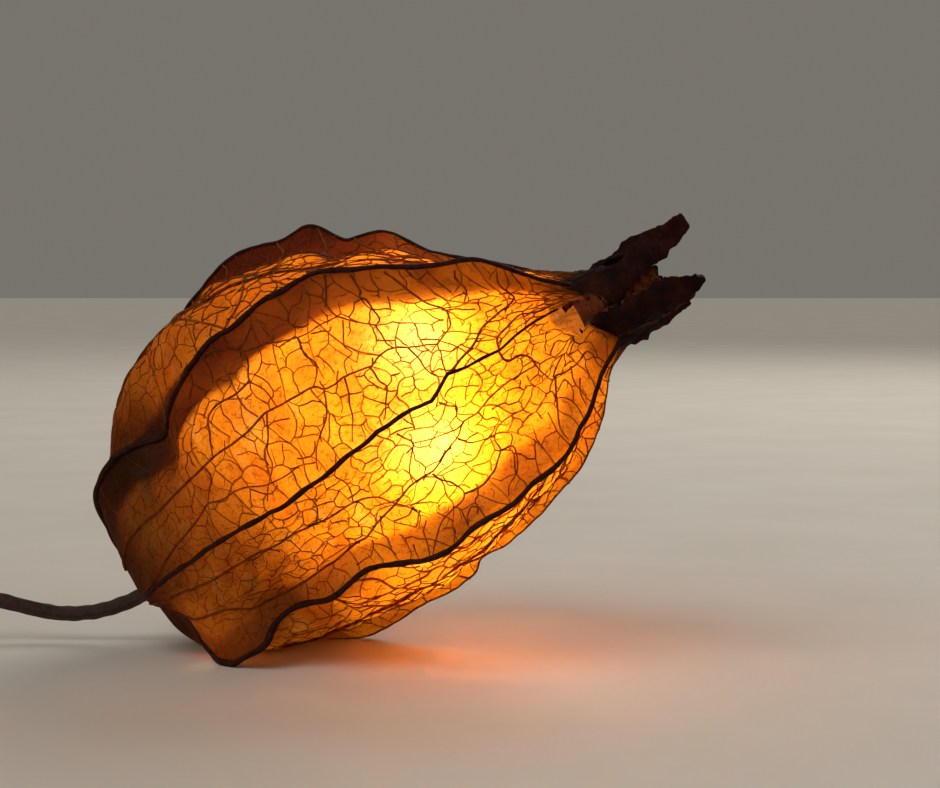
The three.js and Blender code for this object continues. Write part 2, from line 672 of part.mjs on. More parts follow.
// Stalk: a thin bent rod that widens at the cut end, with the small cone that bears the fruit
function stemSolid() {
  const seat = BERRY_CENTRE - BERRY_RADIUS - 0.3;
  const route = [inSpace(seat - 0.6, 0, 0), inSpace(0.6, 0, 0), inSpace(-0.4, 0, 0)];
  STEM_ROUTE.forEach(([x, y, z]) => route.push(BASE.clone().add(new THREE.Vector3(x, y, z))));
  const curve = new THREE.CatmullRomCurve3(route);
  const ring = new THREE.Shape();
  const SIDES = 9;
  for (let i = 0; i < SIDES; i += 1) {
    const angle = (2 * Math.PI * i) / SIDES;
    const point = [STEM_RADIUS * Math.cos(angle), STEM_RADIUS * Math.sin(angle)];
    if (i === 0) ring.moveTo(...point);
    else ring.lineTo(...point);
  }
  ring.closePath();
  const rod = new THREE.ExtrudeGeometry(ring, { steps: 34, extrudePath: curve });
  const low = 1.5;
  const cone = new THREE.LatheGeometry([
    new THREE.Vector2(0, low),
    new THREE.Vector2(STEM_RADIUS + 0.15, low),
    new THREE.Vector2(RECEPTACLE_RADIUS * 0.8, low + 0.45),
    new THREE.Vector2(RECEPTACLE_RADIUS, seat - 0.25),
    new THREE.Vector2(RECEPTACLE_RADIUS * 0.6, seat),
    new THREE.Vector2(0, seat),
  ], 18);
  const turn = new THREE.Matrix4().makeBasis(FRONT, AXIS, UP);
  cone.applyMatrix4(turn.setPosition(BASE));
  return solidFromGeometry(rod).add(solidFromGeometry(cone));
}

const huskMaterial = new THREE.MeshStandardMaterial({ color: 0xd98a1e, roughness: 0.75, metalness: 0 });
const stemMaterial = new THREE.MeshStandardMaterial({ color: 0x2e1408, roughness: 0.8, metalness: 0 });
const berryMaterial = new THREE.MeshStandardMaterial({ color: 0xe87a10, roughness: 0.3, metalness: 0 });

const husk = new THREE.Mesh(geometryFromSolid(huskSolid()), huskMaterial);
husk.name = 'husk';
const stem = new THREE.Mesh(geometryFromSolid(stemSolid()), stemMaterial);
stem.name = 'stem';
const berry = new THREE.Mesh(berryGeometry(), berryMaterial);
berry.name = 'berry';
berry.quaternion.setFromUnitVectors(new THREE.Vector3(0, 1, 0), AXIS);
berry.position.copy(inSpace(BERRY_CENTRE, 0, 0));

// The origin is under the middle of the whole part
const part = new THREE.Group();
part.add(husk, stem, berry);
part.updateMatrixWorld(true);
const box = new THREE.Box3().setFromObject(part, true);
part.position.set(-(box.min.x + box.max.x) / 2, -(box.min.y + box.max.y) / 2, -box.min.z);

export default part;
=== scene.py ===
"""A physalis berry as picked: a dried, veined husk with the fruit inside it and its stalk, on a pale floor."""
import math

import bmesh
import bpy
import numpy as np
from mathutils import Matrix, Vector


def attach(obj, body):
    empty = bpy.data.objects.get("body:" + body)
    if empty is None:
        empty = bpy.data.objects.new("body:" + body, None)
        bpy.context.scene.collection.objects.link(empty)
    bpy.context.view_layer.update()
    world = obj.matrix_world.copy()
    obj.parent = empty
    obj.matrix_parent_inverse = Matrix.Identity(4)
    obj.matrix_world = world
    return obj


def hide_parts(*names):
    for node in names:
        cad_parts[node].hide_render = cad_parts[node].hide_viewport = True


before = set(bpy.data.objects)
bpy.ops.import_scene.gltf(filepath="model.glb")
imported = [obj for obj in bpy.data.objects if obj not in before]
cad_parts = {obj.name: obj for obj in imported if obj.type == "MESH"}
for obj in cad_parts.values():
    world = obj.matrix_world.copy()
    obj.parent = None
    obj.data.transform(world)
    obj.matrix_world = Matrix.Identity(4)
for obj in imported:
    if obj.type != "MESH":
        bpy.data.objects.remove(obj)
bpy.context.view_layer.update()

MM = 0.001
PER_MM = 1000.0

# Husk, berry and stalk in millimetres: the solids' numbers, with three lines of the husk moved by up to 0.7 mm.
# A ridge is its angle and its (distance along the axis, radius) points; a groove's path gives shares of its
# radius, and with it come its sideways turn, its count of side veins and the size of its net.
TILT, YAW, BASE_HEIGHT = 31.7, -15.0, 3.9
ORIGIN_SHIFT = (-9.3628, 2.8351, 0.0)
BOW, BOW_LENGTH = 3.2, 40.0
WING_HEIGHT, WING_WIDTH = 1.5, 1.7
RIDGES = [
    (41, [(0.3, 1.5), (1.0, 4.0), (1.8, 6.6), (3.4, 9.5), (6.2, 10.5), (8.6, 9.3), (9.9, 8.9), (11.6, 10.4),
          (14.8, 11.9), (18.6, 12.4), (22.2, 12.8), (26.3, 12.55), (30.6, 10.1), (35.2, 7.95), (37.6, 4.3),
          (39.2, 2.8)]),
    (108, [(0.3, 1.5), (0.9, 4.5), (2.0, 8.0), (4.5, 11.4), (8.0, 13.6), (11.5, 14.9), (14.5, 15.6), (17.0, 15.8),
           (20.3, 14.9), (23.4, 14.3), (25.4, 12.0), (27.9, 11.5), (30.6, 8.4), (34.5, 5.6), (37.2, 3.6),
           (39.2, 2.8)]),
    (176, [(0.3, 1.5), (0.9, 4.5), (2.0, 7.8), (4.5, 10.8), (9.0, 12.6), (12.0, 13.9), (16.0, 14.2), (19.5, 14.9),
           (24.0, 13.6), (27.0, 12.4), (30.0, 10.4), (33.5, 6.9), (37.0, 3.9), (39.2, 2.9)]),
    (246, [(0.3, 1.5), (0.9, 4.2), (2.4, 7.4), (5.4, 10.2), (8.9, 13.3), (10.9, 14.6), (15.0, 15.3), (19.9, 15.6),
           (21.4, 14.7), (24.0, 14.6), (28.3, 13.1), (30.9, 11.8), (32.8, 10.3), (34.9, 8.2), (37.4, 5.0),
           (39.6, 3.3)]),
    (310, [(0.3, 1.5), (1.6, 3.2), (3.2, 5.8), (4.4, 9.6), (5.6, 12.1), (7.4, 13.0), (9.2, 13.4), (10.4, 12.5),
           (12.7, 12.8), (15.5, 14.2), (18.6, 13.8), (22.9, 15.8), (28.4, 14.7), (33.3, 12.3), (35.6, 10.0),
           (37.9, 6.2), (39.8, 3.6)]),
]
EVEN_GROOVE = [(0.3, 0.117), (0.9, 0.3), (2.3, 0.48), (5.0, 0.65), (9.5, 0.85), (14.0, 0.95), (19.0, 1.0),
               (24.0, 0.975), (29.0, 0.83), (33.5, 0.58), (36.8, 0.35), (39.4, 0.21)]
SUNK_GROOVE = [(0.3, 0.117), (0.9, 0.33), (2.3, 0.55), (4.2, 0.71), (5.9, 0.85), (8.7, 0.96), (12.5, 1.0),
               (16.0, 0.976), (20.3, 0.913), (23.6, 0.81), (28.0, 0.68), (33.0, 0.46), (36.8, 0.3), (39.4, 0.22)]
STRAIGHT = [(0, 0), (1, 0)]
ZIGZAG = [(0, -6), (0.2, -9), (0.3, -11), (0.36, -12.5), (0.44, -14.5), (0.52, -14), (0.6, -11.3), (0.66, -9.2),
          (0.71, -10.1), (0.75, -3.8), (0.84, -3.5), (0.93, 9), (1, 20)]
GROOVES = [(12.6, SUNK_GROOVE, STRAIGHT, 0, 3.7), (13.2, EVEN_GROOVE, STRAIGHT, 0, 3.7),
           (13.0, EVEN_GROOVE, STRAIGHT, 0, 3.7), (13.4, EVEN_GROOVE, STRAIGHT, 0, 3.7),
           (12.6, EVEN_GROOVE, ZIGZAG, 1, 2.7)]
WING_CELL, NET_START, SEED = 3.4, 0.1, 7
# Torn hole, seen from the front: (distance along the axis, height across it), and how far to the front film is torn
TEAR = [(36.9, 0.5), (37.5, -0.4), (38.1, -1.1), (39.0, -0.7), (39.8, -0.4), (40.5, 0.4), (39.6, 0.9),
        (38.4, 1.3), (37.2, 1.1)]
TEAR_FRONT = 0.9
# Lobes: angle, where they leave the mouth, length, sideways turn, and half widths and radii from root to tip
LOBES = [
    (38, 37.6, 10.3, 3, [1.9, 2.0, 1.95, 1.6, 1.15, 0.6], [2.5, 2.6, 2.6, 2.7, 2.9]),
    (108, 37.4, 7.4, -30, [1.7, 1.6, 1.4, 1.1, 0.8, 0.4], [2.4, 2.5, 2.7, 2.6, 2.4]),
    (176, 37.4, 6.8, 0, [1.6, 1.5, 1.2, 1.0, 0.8, 0.55], [2.5, 2.3, 1.8, 1.0, 0.4]),
    (246, 37.8, 7.2, 26, [1.8, 1.7, 1.4, 1.1, 0.8, 0.45], [2.9, 3.0, 2.9, 2.7, 2.5]),
    (316, 37.9, 8.8, 0, [2.0, 1.95, 1.8, 1.5, 1.1, 0.5], [3.1, 3.2, 3.2, 3.0, 2.9]),
]
BERRY_RADIUS, BERRY_CENTRE = 7.7, 10.5
STEM_RADIUS, RECEPTACLE_RADIUS = 0.55, 2.0
# The stalk outside the husk, from the husk's base to its cut end
STEM_ROUTE = [(-1.3, 0.3, -0.75), (-2.6, 0.5, -1.25), (-4.4, 0.7, -1.72), (-6.6, 0.8, -1.82), (-9.0, 0.8, -1.4),
              (-11.6, 0.7, -0.72), (-14.2, 0.5, -0.25), (-16.6, 0.3, -0.55), (-18.6, 0.1, -1.5), (-20.2, 0.0, -2.95)]

# Thin things of the dressed husk, in millimetres
FILM = 0.12
ABOVE_TABLE = 0.03
DOME_HEIGHT, DOME_REACH = 0.24, 1.5
# Painted glow hot spots, nearly white, by the lamps: their middles along the axis, up and to the front, and radius
GLOW_HOT_SPOTS, HOT_SPOT_RADIUS = [(27.7, -3.0, 13.0), (30.2, 3.8, 11.5)], 3.2
SIDE_RADIUS, VEIN_RADIUS, FINE_RADIUS, THREAD_RADIUS = 0.11, 0.078, 0.054, 0.032
# Each ridge's rib radius, its pinched edge's brown and painted shade and their width, and each groove's rib radius
RIDGE_RIBS = [(0.24, 0.85, 2.2), (0.2, 1.0, 3.2), (0.2, 0.55, 1.6), (0.12, 0.25, 1.4), (0.26, 0.45, 1.5)]
GROOVE_RIBS = [0.12, 0.13, 0.14, 0.13, 0.165]
FINE_CELL = 1.1
LOBE_THICKNESS = 0.4
# How near corners of cells have to be to become one: within a strip, at its edge, and along an edge in shares of it
SAME_CORNER, EDGE_REACH, SAME_STOP, SAME_ROOT_STOP = 0.5, 0.45, 0.016, 0.04
# Depth and angle of the fruit's dimple and of its scar
DIMPLE, SCAR = (0.55, 0.16), (0.18, 0.07)
# Half the floor's side, and the camera's place from the husk's base and its turn downwards
FLOOR, CAMERA, CAMERA_DOWN = 2000.0, (23.408, -161.3, 23.37), 3.198
AMBER = (1.0, 0.66, 0.22)
# Lamps of the stage: kind, place, power, colour and size. The glows stand in and behind the husk.
STUDIO_LAMPS = {"soft_key": ("SUN", (-250, -300, 420), 0.9, (1.0, 0.97, 0.93), 40),
                "soft_back": ("AREA", (200, 350, 350), 0.8, (1.0, 0.95, 0.88), 300)}
GLOW_LAMPS = {"glow_low": ((27.5, -2.8, 8.2), 0.012, 2.0), "glow_high": ((29.6, 4.0, 6.3), 0.0032, 2.0),
              "glow_back": ((21.0, 2.5, -5.0), 0.022, 2.0), "glow_foot": ((4.4, -5.0, 4.0), 0.0013, 1.0),
              "glow_under": ((20.0, -7.0, -2.5), 0.003, 1.5)}
# Long and branching veins of the front panel, each from its thick end: half panel, radius, then by turns thousandths
# of the way from stalk to mouth and hundredths of the way from ridge to groove
LONG_VEINS = [
    (9, 0.1, [80, 50, 150, 50, 216, 52, 250, 56, 280, 58, 320, 59, 364, 59, 398, 58, 444, 59, 478, 59, 506, 56,
              522, 57, 560, 59, 582, 60, 596, 65, 610, 66, 628, 65, 648, 66, 664, 67, 682, 62, 704, 59, 722, 64,
              744, 71, 762, 75]),
    (9, 0.09, [760, 99, 786, 92, 810, 85, 824, 76, 838, 69, 858, 63, 878, 58, 894, 48, 884, 35, 874, 21, 882, 7]),
    (9, 0.08, [742, 3, 752, 10, 762, 21, 776, 35, 790, 41, 792, 60, 780, 68, 762, 76, 760, 83, 756, 89, 750, 100]),
    (9, 0.08, [698, 2, 698, 7, 698, 13, 694, 18, 700, 20, 706, 30, 708, 39, 700, 42, 700, 49, 700, 56, 704, 59]),
    (9, 0.08, [668, 1, 660, 8, 650, 16, 656, 27, 666, 32, 680, 37, 700, 42]),
    (9, 0.08, [458, 3, 476, 4, 502, 9, 520, 15, 546, 19, 594, 29, 612, 29, 632, 28, 654, 28]),
    (9, 0.075, [664, 67, 666, 71, 666, 77, 670, 81, 658, 89, 646, 95, 640, 97]),
    (9, 0.07, [722, 64, 728, 76, 728, 83, 734, 92, 744, 99]),
    (9, 0.075, [596, 30, 596, 43, 602, 48, 600, 54, 584, 60]),
    (9, 0.07, [594, 65, 588, 70, 574, 78, 558, 82, 542, 86, 528, 92, 522, 96]),
    (9, 0.07, [628, 66, 622, 73, 612, 80, 606, 86, 594, 92, 586, 96]),
    (9, 0.06, [662, 32, 654, 40, 648, 49, 652, 55, 640, 57, 632, 66]),
    (9, 0.075, [828, 6, 824, 12, 828, 22, 824, 34, 810, 42, 790, 41]),
    (9, 0.075, [838, 99, 848, 87, 872, 83, 896, 77, 914, 82, 934, 85, 954, 81]),
    (9, 0.06, [812, 83, 846, 88]),
    (9, 0.08, [514, 14, 516, 26, 508, 35, 520, 45, 522, 57]),
    (9, 0.075, [508, 35, 472, 36, 436, 36, 418, 46, 398, 58]),
    (9, 0.085, [100, 97, 172, 93, 210, 89, 262, 85, 302, 83, 330, 80, 350, 78, 376, 81, 402, 81, 422, 83, 446, 87,
                476, 89, 502, 89, 526, 92]),
    (9, 0.065, [378, 60, 378, 67, 366, 72, 350, 78]),
    (9, 0.065, [506, 56, 494, 66, 476, 73, 468, 81, 446, 88, 432, 94]),
    (8, 0.1, [80, 80, 192, 73, 260, 70, 308, 71, 354, 70, 394, 67, 448, 67, 492, 62, 534, 61, 564, 55, 582, 42]),
    (8, 0.1, [80, 55, 168, 40, 248, 39, 288, 32, 326, 15, 362, 10, 398, 13, 438, 17, 462, 14, 500, 20, 550, 35,
              578, 39, 598, 43, 624, 47, 648, 45, 680, 51, 702, 55, 724, 62, 748, 57, 786, 63, 834, 64, 860, 59]),
    (8, 0.09, [836, 99, 838, 84, 854, 80, 866, 69, 862, 59, 858, 42]),
    (8, 0.075, [648, 44, 652, 35, 660, 29, 662, 15, 654, 12, 622, 10, 604, 6, 586, 0]),
    (8, 0.075, [662, 15, 684, 13, 706, 15, 720, 19, 734, 24, 740, 34, 762, 39, 796, 38]),
    (8, 0.065, [748, 57, 750, 48, 758, 46, 762, 39]),
    (8, 0.07, [702, 54, 716, 43, 740, 34]),
    (8, 0.07, [734, 24, 748, 20, 744, 12, 734, 8, 718, 6, 710, 3]),
    (8, 0.07, [644, 88, 648, 81, 654, 73, 642, 66, 626, 56, 620, 47]),
    (8, 0.075, [718, 92, 724, 83, 732, 74, 724, 70, 724, 61]),
    (8, 0.065, [724, 61, 688, 65, 654, 73]),
    (8, 0.08, [868, 37, 852, 30, 832, 18, 818, 9, 820, 3]),
    (8, 0.07, [868, 37, 890, 30, 914, 26, 936, 26, 946, 20, 944, 10, 948, 0]),
    (8, 0.06, [942, 31, 968, 42, 976, 52]),
    (8, 0.06, [898, 17, 882, 11, 878, 3]),
    (8, 0.065, [664, 3, 668, 5, 662, 7, 652, 5, 648, 2]),
    (8, 0.06, [616, 7, 628, 4, 620, 1]),
    (8, 0.06, [572, 7, 570, 4, 570, 1]),
    (8, 0.06, [470, 64, 486, 77, 486, 92, 482, 100]),
    (8, 0.06, [534, 61, 544, 77, 536, 96]),
    (8, 0.06, [582, 42, 596, 30, 600, 21, 590, 14]),
    (8, 0.07, [745, 98, 800, 86, 860, 78, 920, 70, 970, 62]),
]


def random_source(seed):
    """The same small random source as the solids'."""
    state = seed
    while True:
        state = (state * 1664525 + 1013904223) % 4294967296
        yield state / 4294967296


def smoothstep(value, low, high):
    share = np.clip((value - low) / (high - low), 0, 1)
    return share * share * (3 - 2 * share)


def hills(points, size, seed, waves=7):
    """A smooth random height from about -1 to 1: plane waves of roughly the given size in millimetres."""
    draw = np.random.default_rng(seed)
    total = 0.0
    for _ in range(waves):
        way = draw.normal(size=3)
        way *= math.tau / size * draw.uniform(0.6, 1.5) / np.linalg.norm(way)
        total = total + np.sin(points @ way + draw.uniform(0, math.tau))
    return total / math.sqrt(waves) / 1.2


# Curves and the husk's surface

class SmoothPath:
    """Centripetal Catmull-Rom curve through points, read by share of its points or of its length."""

    def __init__(self, points):
        p = np.array(points, float)
        self.points = np.vstack([2 * p[0] - p[1], p, 2 * p[-1] - p[-2]])
        self.spans = len(p) - 1
        steps = self.at(np.linspace(0, 1, 401))
        self.lengths = np.concatenate([[0], np.cumsum(np.linalg.norm(np.diff(steps, axis=0), axis=1))])
        self.length = self.lengths[-1]

    def at(self, share):
        place = np.asarray(share, float) * self.spans
        i = np.minimum(place.astype(int), self.spans - 1)
        w = (place - i)[..., None]
        p0, p1, p2, p3 = (self.points[i + k] for k in range(4))
        spans = ((p0, p1), (p1, p2), (p2, p3))
        d0, d1, d2 = (np.sqrt(np.linalg.norm(b - a, axis=-1))[..., None] for a, b in spans)
        t1 = ((p1 - p0) / d0 - (p2 - p0) / (d0 + d1) + (p2 - p1) / d1) * d1
        t2 = ((p2 - p1) / d1 - (p3 - p1) / (d1 + d2) + (p3 - p2) / d2) * d1
        return p1 + t1 * w + (-3 * p1 + 3 * p2 - 2 * t1 - t2) * w**2 + (2 * p1 - 2 * p2 + t1 + t2) * w**3

    def along(self, share):
        return self.at(np.interp(np.asarray(share, float) * self.length, self.lengths, np.linspace(0, 1, 401)))


tilt, yaw = math.radians(TILT), math.radians(YAW)
AXIS = np.array([math.cos(tilt) * math.cos(yaw), math.cos(tilt) * math.sin(yaw), math.sin(tilt)])
UP = np.array([0, 0, 1.0]) - AXIS[2] * AXIS
UP /= np.linalg.norm(UP)
FRONT = np.cross(AXIS, UP)
BASE = np.array([0, 0, BASE_HEIGHT]) + np.array(ORIGIN_SHIFT)


def in_space(along, up, front):
    return BASE + np.multiply.outer(along, AXIS) + np.multiply.outer(up, UP) + np.multiply.outer(front, FRONT)


def bow_at(along):
    return BOW * np.sin(np.pi * np.clip(np.asarray(along) / BOW_LENGTH, 0, 1))


def round_axis(along, radius, angle):
    angle = np.radians(angle)
    return in_space(along, bow_at(along) + radius * np.sin(angle), radius * np.cos(angle))


def axis_place(points):
    """Along the axis, up across it and towards the front, for points in space."""
    away = points - BASE
    return away @ AXIS, away @ UP, away @ FRONT


TABLE_SHARES = np.linspace(0, 1, 1601)
groove_paths = [SmoothPath([(z, share * radius) for z, share in path]) for radius, path, _, _, _ in GROOVES]
ridge_tables = [SmoothPath(path).along(TABLE_SHARES) for _, path in RIDGES]
groove_tables = [path.along(TABLE_SHARES) for path in groove_paths]


def read_table(table, share):
    return np.interp(share, TABLE_SHARES, table[:, 0]), np.interp(share, TABLE_SHARES, table[:, 1])


HALVES = []
for index in range(10):
    groove = index // 2
    before, after = RIDGES[groove][0], RIDGES[(groove + 1) % 5][0] + (360 if groove == 4 else 0)
    even = index % 2 == 0
    HALVES.append({"ridge": groove if even else (groove + 1) % 5, "groove": groove,
                   "ridge_angle": before if even else after, "groove_angle": (before + after) / 2})


def wing_at(t):
    return WING_HEIGHT * smoothstep(t, 0.05, 0.22) * (1 - 0.6 * smoothstep(t, 0.82, 1.0))


def wing_span(index, t):
    half = HALVES[index]
    _, radius = read_table(ridge_tables[half["ridge"]], t)
    return np.maximum(0.5, math.radians(abs(half["groove_angle"] - half["ridge_angle"])) * radius)


def husk_point(index, x, t):
    """Points of one half panel: x runs from the ridge to the groove and t from the stalk to the mouth."""
    half = HALVES[index]
    ridge_z, ridge_r = read_table(ridge_tables[half["ridge"]], t)
    groove_z, groove_r = read_table(groove_tables[half["groove"]], t)
    turn = np.interp(t, *zip(*GROOVES[half["groove"]][2]))
    along = ridge_z + (groove_z - ridge_z) * x * x * (3 - 2 * x)
    angle = half["ridge_angle"] + (half["groove_angle"] + turn - half["ridge_angle"]) * x
    span, wing = wing_span(index, t), wing_at(t)
    fold = np.maximum(0, 1 - x * span / np.minimum(WING_WIDTH, span * 0.35)) ** 1.6
    body = groove_r + (ridge_r - wing - groove_r) * (1 - x) ** 2
    wave = np.sin(t * 31 + 0.07 * angle) * np.sin(0.11 * angle + 9 * t)
    crumple = 0.35 * wave * np.sin(np.pi * x) * np.sin(np.pi * t)
    return round_axis(along, body + wing * fold + crumple, angle)


# Cells of the net of veins

def panel_width(index, t):
    half = HALVES[index]
    _, ridge_r = read_table(ridge_tables[half["ridge"]], t)
    _, groove_r = read_table(groove_tables[half["groove"]], t)
    return math.radians(abs(half["groove_angle"] - half["ridge_angle"])) * (ridge_r + groove_r) / 2


def strip_borders(index):
    """Lines that divide a half panel: the ridge, the wing's root, the side veins and the groove."""
    draw = random_source(SEED + 31 * index)

    def root(t):
        return np.minimum(0.3, WING_WIDTH / panel_width(index, t))

    def side(share, phase):
        return lambda t: root(t) + (1 - root(t)) * (share + 0.05 * np.sin(9 * t + phase))

    borders = [("rib", lambda t: 0.0 * t), ("root", root)]
    count = GROOVES[HALVES[index]["groove"]][3]
    for k in range(1, count + 1):
        share = k / (count + 1) + 0.06 * (next(draw) - 0.5)
        borders.append(("side", side(share, 6.28 * next(draw))))
    return borders + [("groove", lambda t: 0.0 * t + 1)]


def nearer_side(polygon, own, other):
    """A convex polygon cut to what lies nearer to one point than to another."""
    mid = ((own[0] + other[0]) / 2, (own[1] + other[1]) / 2)
    aim = (other[0] - own[0], other[1] - own[1])
    side = [(p[0] - mid[0]) * aim[0] + (p[1] - mid[1]) * aim[1] for p in polygon]
    kept = []
    for i, p in enumerate(polygon):
        j = (i + 1) % len(polygon)
        if side[i] <= 0:
            kept.append(p)
        if (side[i] < 0) != (side[j] < 0) and side[i] != side[j]:
            f = side[i] / (side[i] - side[j])
            q = polygon[j]
            kept.append((p[0] + (q[0] - p[0]) * f, p[1] + (q[1] - p[1]) * f))
    return kept


def strip_cells(width, length, cell, draw):
    columns = max(1, math.floor(width / cell + 0.5))
    rows = math.floor(length / cell + 0.5)
    slant = 0.5 if columns > 1 else 0.8
    seeds = []
    for row in range(rows):
        for column in range(columns):
            stagger = 0.5 * (column % 2) if columns > 1 else 0
            across = (column + 0.5 + slant * (next(draw) - 0.5)) / columns
            along = (row + 0.2 + stagger + 0.6 * next(draw)) / (rows + (0.5 if columns > 1 else 0))
            seeds.append((across * width, min(0.98, along) * length))
    cells = []
    for i, own in enumerate(seeds):
        polygon = [(0, 0), (width, 0), (width, length), (0, length)]
        for j, other in enumerate(seeds):
            if abs(other[1] - own[1]) > 4 * cell:
                continue
            for k, seed in enumerate((other, (-other[0], other[1]), (2 * width - other[0], other[1]))):
                if j != i or k > 0:
                    polygon = nearer_side(polygon, own, seed)
        cells.append(polygon)
    return cells


def make_strips():
    """All strips of the net with their cells, whose corners are brought together where they nearly meet."""
    strips, lines = [], {}
    for index, half in enumerate(HALVES):
        draw = random_source(SEED + 101 * index + 5)
        borders = strip_borders(index)
        for s in range(len(borders) - 1):
            width = float((borders[s + 1][1](0.5) - borders[s][1](0.5)) * panel_width(index, 0.5))
            length = groove_paths[half["groove"]].length * (1 - NET_START)
            names = [f"{index}:{k}" for k in (s, s + 1)]
            if s == 0:
                names[0] = f"ridge{half['ridge']}"
            if s == len(borders) - 2:
                names[1] = f"groove{half['groove']}"
            cell = WING_CELL if s == 0 else GROOVES[half["groove"]][4]
            cells = strip_cells(width, length, cell, draw)
            strips.append({"half": index, "borders": borders[s:s + 2], "names": names, "width": width,
                           "length": length, "cells": cells, "wing": s == 0})
    for strip in strips:
        for across, along in (p for cell in strip["cells"] for p in cell):
            for side, edge in enumerate((0, strip["width"])):
                if abs(across - edge) <= 1e-6:
                    lines.setdefault(strip["names"][side], []).append(along / strip["length"])
    for name, shares in lines.items():
        groups = []
        for share in sorted(shares):
            if groups and share - groups[-1][0] < (SAME_ROOT_STOP if name.endswith(":1") else SAME_STOP):
                groups[-1].append(share)
            else:
                groups.append([share])
        stops = [sum(group) / len(group) for group in groups]
        stops[0], stops[-1] = 0.0, 1.0
        lines[name] = stops
    for strip in strips:
        inside = []

        def corner(place):
            for side, edge in enumerate((0.0, strip["width"])):
                if abs(place[0] - edge) < EDGE_REACH:
                    share = place[1] / strip["length"]
                    stop = min(lines[strip["names"][side]], key=lambda one: abs(one - share))
                    return (edge, stop * strip["length"])
            for known in inside:
                if math.hypot(known[0] - place[0], known[1] - place[1]) < SAME_CORNER:
                    return known
            inside.append(place)
            return place

        tidy = []
        for cell in strip["cells"]:
            ring = [corner(p) for p in cell]
            ring = [p for i, p in enumerate(ring) if p != ring[(i + 1) % len(ring)]]
            if len(ring) >= 3:
                tidy.append(ring)
        strip["cells"] = tidy
    return strips


def strip_to_panel(strip, places):
    """From millimetres across and along a strip to the half panel's x and t."""
    places = np.asarray(places, float)
    t = NET_START + places[..., 1] / strip["length"] * (1 - NET_START)
    left, right = strip["borders"][0][1](t), strip["borders"][1][1](t)
    return np.clip(left + (right - left) * places[..., 0] / strip["width"], 0, 1), t


def cell_edges(strip):
    """Edges between the cells of a strip, each once, without those along its borders."""
    edges, width, length = {}, strip["width"], strip["length"]
    for cell in strip["cells"]:
        for i, p in enumerate(cell):
            q = cell[(i + 1) % len(cell)]
            on_side = any(abs(p[0] - edge) < 1e-6 and abs(q[0] - edge) < 1e-6 for edge in (0, width))
            on_end = any(abs(p[1] - edge) < 1e-6 and abs(q[1] - edge) < 1e-6 for edge in (0, length))
            if not on_side and not on_end:
                edges[tuple(sorted((p, q)))] = (p, q)
    return list(edges.values())


strips = make_strips()
for strip in strips:
    strip["edges"] = cell_edges(strip)


# The film as a grid of points

BATCH = 3000


def in_outline(z, up, outline):
    inside = np.zeros(np.shape(z), bool)
    for (ax, ay), (bx, by) in zip(outline, np.roll(outline, -1, 0)):
        crosses = (ay > up) != (by > up)
        at = ax + (up - ay) * (bx - ax) / (by - ay if by != ay else 1e-9)
        inside ^= crosses & (z < at)
    return inside


def ragged_tear():
    """The torn hole's outline, split fine and frayed."""
    corners = np.array(TEAR)
    draw = np.random.default_rng(SEED)
    points = []
    for p, q in zip(corners, np.roll(corners, -1, 0)):
        for share in np.linspace(0, 1, 5)[:-1]:
            points.append(p + (q - p) * share + draw.normal(0, 0.07, 2))
    return np.array(points)


tear_outline = ragged_tear()


def in_tear(points):
    """True for points of the front film inside the torn hole."""
    z, up, front = axis_place(points)
    return in_outline(z, up, tear_outline) & (front > TEAR_FRONT)


def domes(index, x, t):
    """Height of the film between its veins: each cell of the net domes a little."""
    height = np.zeros(x.shape)
    for strip in (one for one in strips if one["half"] == index):
        left, right = strip["borders"][0][1](t), strip["borders"][1][1](t)
        along = (t - NET_START) / (1 - NET_START) * strip["length"]
        mine = (x >= left) & (x <= right) & (along >= 0)
        across = (x - left) / np.maximum(right - left, 1e-6) * strip["width"]
        p = np.stack([across[mine], along[mine]], 1)
        a, b = np.array([e[0] for e in strip["edges"]]), np.array([e[1] for e in strip["edges"]])
        away = b - a
        nearest = np.minimum(np.abs(p[:, 0]), np.abs(strip["width"] - p[:, 0]))
        for start in range(0, len(p), BATCH):
            part = p[start:start + BATCH]
            share = np.einsum("nmk,mk->nm", part[:, None] - a, away) / np.maximum(np.sum(away**2, 1), 1e-9)
            foot = a + np.clip(share, 0, 1)[..., None] * away
            gap = np.linalg.norm(part[:, None] - foot, axis=-1).min(1)
            nearest[start:start + BATCH] = np.minimum(nearest[start:start + BATCH], gap)
        height[mine] = DOME_HEIGHT * smoothstep(nearest, 0.05, DOME_REACH)
    return height * smoothstep(t, NET_START, NET_START + 0.05) * (1 - smoothstep(t, 0.93, 1.0))


def stitched_normals(grid):
    """Outward unit normals of a grid that closes on itself round the axis."""
    normal = np.cross(np.roll(grid, -1, 1) - np.roll(grid, 1, 1), np.gradient(grid, axis=0))
    normal /= np.maximum(np.linalg.norm(normal, axis=-1, keepdims=True), 1e-9)
    z, _, _ = axis_place(grid)
    middle = in_space(np.clip(z, 6, 34), bow_at(z), 0 * z)
    outward = np.sum(normal * (grid - middle), -1).mean() > 0
    return (normal if outward else -normal), outward


